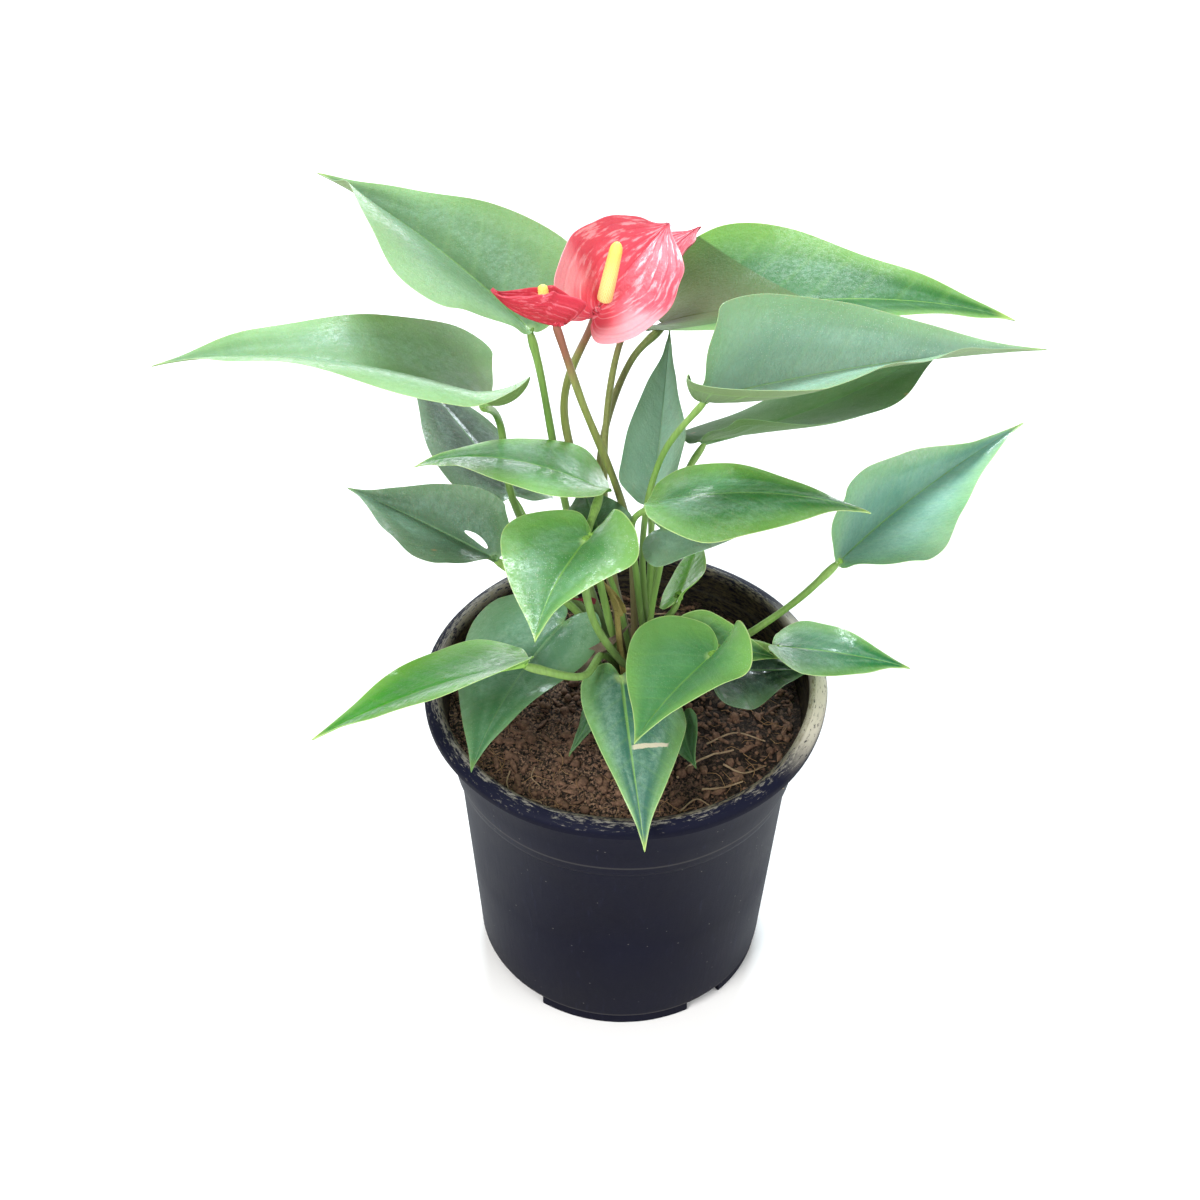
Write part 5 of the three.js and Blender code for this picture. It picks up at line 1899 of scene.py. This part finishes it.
# These forms repeat the CAD source's. Most of their numbers were worked out by a least-squares fit to
# outlines read off the photograph, and most stem routes by a random search, then rounded.
LEAF_FORMS: dict[str, Form] = {
    "rear_left_high": Form(
        joint=(-36, 50, 259), heading=130, pitch=10, droop=-23, sweep=-1, roll=8, twist=5,
        length=135, width=(1.1, 0.7), fold=(41, 38), curl=(-26, -3), lift=(6, 3),
        root=(144, 36), via=((-21, 39, 176), (-33, 50, 243)),
    ),
    "left_high": Form(
        joint=(-51, 15, 254), heading=173, pitch=21, droop=-49, sweep=-12, roll=34, twist=-23,
        length=126, width=(0.95, 1.2), fold=(23, 13), curl=(-45, 6), lobe=(0.45, 0.12), lift=(2, -3),
        ear=(30, 0),
        root=(139, 74), via=((-41, 33, 190), (-47, 46, 219)),
    ),
    "left_behind": Form(
        joint=(-44, 48, 186), heading=123, pitch=12, droop=-13, sweep=0, roll=25, twist=-3,
        length=81, width=(1, 1), fold=(8, 1), curl=(-12, -28), lobe=(0.35, 0.35), lift=(0, 2),
        root=(130, 30), via=((-26, 31, 161), (-37, 41, 175)),
    ),
    "left_middle": Form(
        joint=(-10, 12, 218), heading=163, pitch=21, droop=-60, sweep=-6, roll=34, twist=-30,
        length=77, width=(1.15, 1.3), fold=(7, 3), curl=(-18, -1), lift=(14, -5),
        root=(-78, 74), via=((-13, -20, 188), (-16, -11, 208)),
    ),
    "left_low": Form(
        joint=(-48, 5, 191), heading=137, pitch=-7, droop=-7, sweep=-1, roll=-9, twist=-7,
        length=82, width=(1.05, 0.8), fold=(42, 46), curl=(-15, 27), lift=(7, 2),
        root=(124, 50), via=((-21, 10, 164), (-36, 7, 179)),
    ),
    "front_left_heart": Form(
        joint=(-15, -15, 218), heading=-119, pitch=2, droop=3, sweep=25, roll=28, twist=-10,
        length=57, width=(1.25, 1.4), fold=(16, 36), curl=(-45, -7), lobe=(1.1, 0.95), lift=(11, -1),
        lean=(0.5, 0),
        root=(-150, 68), via=((-5, -7, 165), (-11, -12, 200)),
    ),
    "over_soil_left": Form(
        joint=(-23, 4, 161), heading=-126, pitch=-5, droop=3, sweep=25, roll=5, twist=8,
        length=78, width=(0.65, 1.25), fold=(-2, 2), curl=(-26, -18), lobe=(0.6, 0.6), lift=(4, 3),
        root=(166, 34), via=((-17, 4, 149), (-20, 4, 155)),
    ),
    "lower_left": Form(
        joint=(-36, -42, 185), heading=-168, pitch=-4, droop=-19, sweep=8, roll=41, twist=-30,
        length=78, width=(0.9, 1.3), fold=(14, 3), curl=(-27, 13), lift=(7, -5),
        root=(142, 46), via=((-9, -12, 160), (-16, -31, 168)),
    ),
    "front_over_rim": Form(
        joint=(-2, -22, 158), heading=-84, pitch=-3, droop=-31, sweep=4, roll=-15, twist=12,
        length=68, width=(1.15, 0.65), fold=(0, 0), curl=(-31, -45), lobe=(0.5, 0.5), lift=(-5, -2),
        root=(-71, 47), via=((5, -17, 148), (0, -20, 154)),
    ),
    "front_heart": Form(
        joint=(30, -22, 170), heading=-130, pitch=2, droop=8, sweep=21, roll=35, twist=-19,
        length=57, width=(1.25, 1.4), fold=(22, 39), curl=(-43, -2), lobe=(1.1, 0.95), lift=(15, 3),
        lean=(0.5, 0),
        root=(-158, 54), via=((10, -16, 161), (20, -21, 166)),
    ),
    "behind_heart": Form(
        joint=(23, -8, 164), heading=-3, pitch=-7, droop=-14, sweep=5, roll=13, twist=4,
        length=34, width=(1.05, 1), fold=(14, 10), curl=(3, 0), lobe=(1, 1), lift=(1, 2),
        root=(-13, 46), via=((20, -4, 148), (21, -6, 155)),
    ),
    "right_low": Form(
        joint=(55, 2, 152), heading=-7, pitch=5, droop=-18, sweep=-2, roll=-30, twist=30,
        length=50, width=(1.4, 1.35), fold=(0, -5), curl=(11, -1), lift=(-5, 15),
        root=(73, 69), via=((28, 6, 154), (42, 4, 153)),
    ),
    "on_soil_right": Form(
        joint=(27, -5, 147), heading=8, pitch=-10, droop=-4, sweep=10, roll=1, twist=24,
        length=46, width=(1, 1.4), fold=(12, 7), curl=(0, 4), lobe=(0.7, 0.7), lift=(2, 10),
        root=(-72, 9), via=((17, -16, 134), (21, -11, 140)),
    ),
    "right_long": Form(
        joint=(77, 18, 180), heading=61, pitch=-13, droop=12, sweep=-19, roll=30, twist=8,
        length=134, width=(0.65, 0.75), fold=(50, 50), curl=(1, 7), lift=(10, 9),
        root=(33, 12), via=((50, 14, 151), (64, 16, 164)),
    ),
    "right_middle": Form(
        joint=(8, -20, 240), heading=6, pitch=13, droop=-39, sweep=-3, roll=-38, twist=30,
        length=76, width=(1.25, 1.3), fold=(-7, -5), curl=(31, -26), lift=(-5, 15),
        root=(3, 65), via=((3, -1, 188), (1, -10, 223)),
    ),
    "upright_young": Form(
        joint=(8, 16, 209), heading=84, pitch=11, droop=8, sweep=2, roll=-7, twist=1,
        length=79, width=(0.75, 0.75), fold=(47, 46), curl=(35, 24), lobe=(0.25, 0.25), lift=(4, 10),
        root=(15, 80), via=((8, 9, 180), (8, 11, 190)),
    ),
    "right_under": Form(
        joint=(13, -9, 219), heading=-11, pitch=6, droop=8, sweep=25, roll=-16, twist=-30,
        length=47, width=(1, 1.4), fold=(12, -10), curl=(0, 4), lobe=(0.75, 0.75), lift=(2, -5),
        root=(-33, 76), via=((9, -4, 180), (11, -6, 198)),
    ),
    "right_high": Form(
        joint=(25, 6, 264), heading=42, pitch=-15, droop=6, sweep=-25, roll=26, twist=-22,
        length=152, width=(0.65, 1.1), fold=(50, 50), curl=(24, 13), lobe=(0.12, 0.9), lift=(12, 4),
        perk=(0, 22),
        lean=(0, 0.92),
        root=(8, 54), via=((5, 7, 201), (11, 9, 237)),
    ),
    "rear_right_high": Form(
        joint=(12, 84, 238), heading=-5, pitch=22, droop=-52, sweep=25, roll=-21, twist=23,
        length=140, width=(1.25, 0.9), fold=(3, 9), curl=(17, 8), lift=(-1, 2),
        root=(129, 39), via=((-11, 54, 193), (0, 77, 225)),
    ),
    "right_shaded": Form(
        joint=(27, 40, 218), heading=19, pitch=1, droop=8, sweep=20, roll=-30, twist=30,
        length=108, width=(0.9, 1.25), fold=(0, 8), curl=(-10, 9), lift=(1, 11),
        root=(98, 60), via=((12, 26, 183), (21, 36, 207)),
    ),
    "unfolding": Form(
        joint=(19, 10, 170), heading=71, pitch=11, droop=-7, sweep=7, roll=-38, twist=1,
        length=33, width=(1, 1), fold=(0, 11), curl=(-22, -6), lobe=(1, 1), lift=(2, 7),
        root=(74, 78), via=((12, 6, 158), (17, 8, 164)),
    ),
    "small_front_right": Form(
        joint=(21, -22, 136), heading=-84, pitch=-6, droop=5, sweep=11, roll=25, twist=5,
        length=22, width=(0.95, 1.1), fold=(20, 9), curl=(11, -2), lobe=(1, 1), lift=(2, 2),
        root=(-99, 7), via=((6, -21, 129), (11, -22, 131)),
    ),
    "small_front_left": Form(
        joint=(-8, -16, 145), heading=-117, pitch=-20, droop=-15, sweep=-9, roll=31, twist=-1,
        length=27, width=(1.05, 0.95), fold=(5, -4), curl=(-4, -20), lobe=(1, 1), lift=(2, 2),
        root=(179, 16), via=((-14, -4, 135), (-9, -12, 141)),
    ),
    "small_centre": Form(
        joint=(-10, 0, 205), heading=101, pitch=-2, droop=-18, sweep=0, roll=-8, twist=-1,
        length=40, width=(1, 0.95), fold=(12, 14), curl=(0, 3), lobe=(1, 1), lift=(2, 2),
        root=(170, 80), via=((-3, 0, 174), (-8, 0, 193)),
    ),
}

FLOWER_FORMS: dict[str, Form] = {
    "main": Form(
        joint=(-12, 40, 276), heading=53, pitch=24, droop=-38, sweep=17, roll=26, twist=-2,
        length=53, width=(1.5, 1.5), fold=(16, 14), curl=(35, 35), lobe=(1.3, 1.3), lift=(13, 11),
        fullness=0.02,
        root=(93, 43), via=((-8, 32, 170), (-24, 50, 223)),
    ),
    "cup": Form(
        joint=(-26, 10, 292), heading=177, pitch=5, droop=50, sweep=0, roll=0, twist=0,
        length=25, width=(1.75, 1.5), fold=(60, 24), curl=(26, 20), lobe=(1.9, 1.5), lift=(0, 0),
        perk=(1.7, 0), fullness=0.05,
        root=(114, 68), via=((0, 20, 192), (-18, 16, 257)),
    ),
    "rear": Form(
        joint=(4, 84, 252), heading=59, pitch=24, droop=-36, sweep=-1, roll=-16, twist=5,
        length=42, width=(1.4, 1.4), fold=(15, 20), curl=(0, 20), lobe=(1.4, 1.4), lift=(2, 2),
        root=(132, 59), via=((-9, 42, 193), (-5, 72, 233)),
    ),
}


@dataclass(frozen=True)
class Look:
    """How one leaf differs from the others of its age."""

    age: LeafAge
    tint_and_light: Colour = (1.0, 1.0, 1.0)
    stem_radius: float = 1.4
    stem: str = "green"
    finish: dict[str, object] = field(default_factory=dict)
    settings: dict[str, object] = field(default_factory=dict)


# Most tints were worked out from the median colours of small squares on each leaf, in the photograph and in a
# render. Besides each leaf's own green they hold painted light and shade, brightening leaves that the lamps
# leave dim and darkening shaded ones.
LOOKS: dict[str, Look] = {
    "rear_left_high": Look(LeafAge.BROAD, (1.35, 1.05, 1.1), finish={"painted_sheen": 0.3}),
    "left_high": Look(LeafAge.BROAD, (1.65, 1.3, 1.3), finish={"painted_sheen": 0.35}),
    "left_behind": Look(LeafAge.DARK, (0.05, 0.2, 0.05), finish={"painted_sheen": 0.2}),
    "left_middle": Look(LeafAge.FRESH, (0.5, 0.8, 0.35), finish={"painted_sheen": 0.4, "clear": 0.6}),
    "left_low": Look(
        LeafAge.DARK, (1.5, 1.05, 1.55), settings={"torn": ((0.24, -0.32), (0.44, -0.2))},
        finish={"painted_sheen": 0.3}
    ),
    "front_left_heart": Look(LeafAge.FRESH, (1.35, 1.05, 1.3), finish={"painted_sheen": 0.4, "dust": 0.45}),
    "over_soil_left": Look(LeafAge.DARK, (1.25, 1.15, 1.45), finish={"painted_sheen": 0.3}),
    "lower_left": Look(LeafAge.FRESH, (0.55, 1.1, 0.1), finish={"painted_sheen": 0.15}),
    "front_over_rim": Look(LeafAge.FRESH, (0.65, 0.55, 1.65), finish={"painted_sheen": 0.5, "scar": (0.42, 0.36)}),
    "front_heart": Look(LeafAge.FRESH, (1.4, 1.1, 1.6), finish={"painted_sheen": 0.15, "clear": 0.3}),
    "behind_heart": Look(LeafAge.FRESH, (0.85, 0.7, 0.85), stem_radius=1.1, finish={"painted_sheen": 0.15}),
    "right_low": Look(LeafAge.FRESH, (0.25, 0.7, 0.9), finish={"painted_sheen": 0.5}),
    "on_soil_right": Look(
        LeafAge.DARK, (0.1, 0.15, 0.3), stem_radius=1.2,
        finish={"painted_sheen": 0.2, "clear": 1.0, "roughness": 0.3}, settings={"wave": 0.05, "puff": 0.3}
    ),
    "right_long": Look(LeafAge.FRESH, (2.95, 1.55, 5.2), finish={"painted_sheen": 0.55, "clear": 0.6}),
    "right_middle": Look(
        LeafAge.FRESH, (0.5, 0.7, 0.65), stem_radius=1.15, finish={"painted_sheen": 0.45, "clear": 0.8}
    ),
    "upright_young": Look(
        LeafAge.DARK, (6.05, 3.45, 6.85), stem_radius=1.15, finish={"painted_sheen": 0.4, "dust": 0.5}
    ),
    "right_under": Look(LeafAge.DARK, (3.25, 1.95, 3.95), stem_radius=1.15, finish={"painted_sheen": 0.35}),
    "right_high": Look(
        LeafAge.BROAD, (2.95, 1.8, 3.35), stem_radius=1.15, finish={"painted_sheen": 0.55, "dust": 0.5}
    ),
    "rear_right_high": Look(
        LeafAge.FRESH, (0.15, 0.45, 0.1), stem="bronze",
        finish={"painted_sheen": 0.2, "clear": 0.1, "roughness": 0.5, "turned": 0.26, "under": tone(84, 96, 46)},
    ),
    "right_shaded": Look(
        LeafAge.DARK, (2.25, 1.8, 1.45), stem_radius=1.15,
        finish={"painted_sheen": 0.1, "clear": 0.0, "roughness": 0.55}
    ),
    "unfolding": Look(LeafAge.FRESH, (1.7, 1.55, 0.05), stem_radius=1.0, finish={"painted_sheen": 0.15}),
    "small_front_right": Look(LeafAge.DARK, (1.1, 1.15, 0.95), stem_radius=1.0),
    "small_front_left": Look(LeafAge.DARK, (0.75, 0.8, 0.65), stem_radius=1.0),
    "small_centre": Look(LeafAge.DARK, (0.75, 0.8, 0.65), stem_radius=1.0),
}

STEMS: dict[str, StemFinish] = {
    "green": StemFinish("stem_green", tone(84, 100, 58), tone(122, 160, 78), tone(140, 178, 92)),
    "bronze": StemFinish("stem_bronze", tone(96, 82, 58), tone(128, 130, 78), tone(132, 150, 82)),
    "peduncle": StemFinish("stem_peduncle", tone(96, 84, 56), tone(140, 148, 82), tone(150, 92, 76)),
}


def build_flowers() -> list[bpy.types.Object]:
    """Builds the three flowers."""
    spike = SpadixFinish().make()
    stem = STEMS["peduncle"].make()
    flowers = (
        Flower("main", FLOWER_FORMS["main"],
               SpatheFinish(
                   "spathe_pink", tone(226, 86, 102), tone(202, 54, 74), tone(244, 176, 184), pale_lobes=0.8
               ),
               Spadix("main", FLOWER_FORMS["main"], 24.0, 2.7, -10.0, 80.0, rise=0.5), 1.5),
        Flower("cup", FLOWER_FORMS["cup"],
               SpatheFinish("spathe_red", tone(196, 44, 64), tone(152, 24, 44), tone(222, 100, 116)),
               Spadix("cup", FLOWER_FORMS["cup"], 9.0, 2.0, 110.0, 68.0, rise=2.2), 1.4, wave=0.02),
        Flower("rear", FLOWER_FORMS["rear"],
               SpatheFinish("spathe_rose", tone(206, 84, 100), tone(180, 50, 72), tone(226, 140, 148)),
               Spadix("rear", FLOWER_FORMS["rear"], 20.0, 2.4, 60.0, 66.0), 1.3),
    )
    return [piece for flower in flowers for piece in flower.build(stem, spike)]


def build_leaves() -> list[bpy.types.Object]:
    """Builds every leaf of the plant."""
    stems = {name: STEMS[name].make() for name in ("green", "bronze")}
    made = []
    for number, (name, look) in enumerate(LOOKS.items()):
        settings = {"phase": number * 0.37, **look.settings}
        leaf = Leaf(name, LEAF_FORMS[name], look.age, look.tint_and_light, look.stem_radius, look.finish, settings)
        made.extend(leaf.build(stems[look.stem]))
    return made


def main() -> None:
    """Builds the pot, the mix, the crown, the leaves, the flowers and the stage."""
    logging.basicConfig(level=logging.INFO, format="%(message)s")
    build_vein_group()
    build_speck_group()
    build_cloud_group()
    Pot().build(PotFinish().make())
    PottingMix().build(
        MixFinish().make(),
        BarkFinish("peat_crumbs", tone(44, 32, 27), tone(150, 116, 94), 1.6).make(),
        BarkFinish("coir_fibres", tone(110, 80, 54), tone(186, 152, 112), 5.0).make(),
        BarkFinish("dry_twigs", tone(120, 98, 76), tone(196, 172, 140), 6.0).make(),
    )
    Crown().build(
        BarkFinish("crown_bark", tone(84, 70, 44), tone(128, 124, 72), 5.0, 0.65).make(),
        BarkFinish("papery_sheath", tone(112, 96, 52), tone(164, 152, 88), 4.0, 0.6).make(),
        BarkFinish("withered_leaf", tone(88, 76, 64), tone(150, 136, 118), 5.0).make(),
        BarkFinish("red_bract", tone(84, 22, 34), tone(132, 44, 56), 5.0, 0.5).make(),
    )
    build_leaves()
    build_flowers()
    Stage().build()


if __name__ == "__main__":
    main()
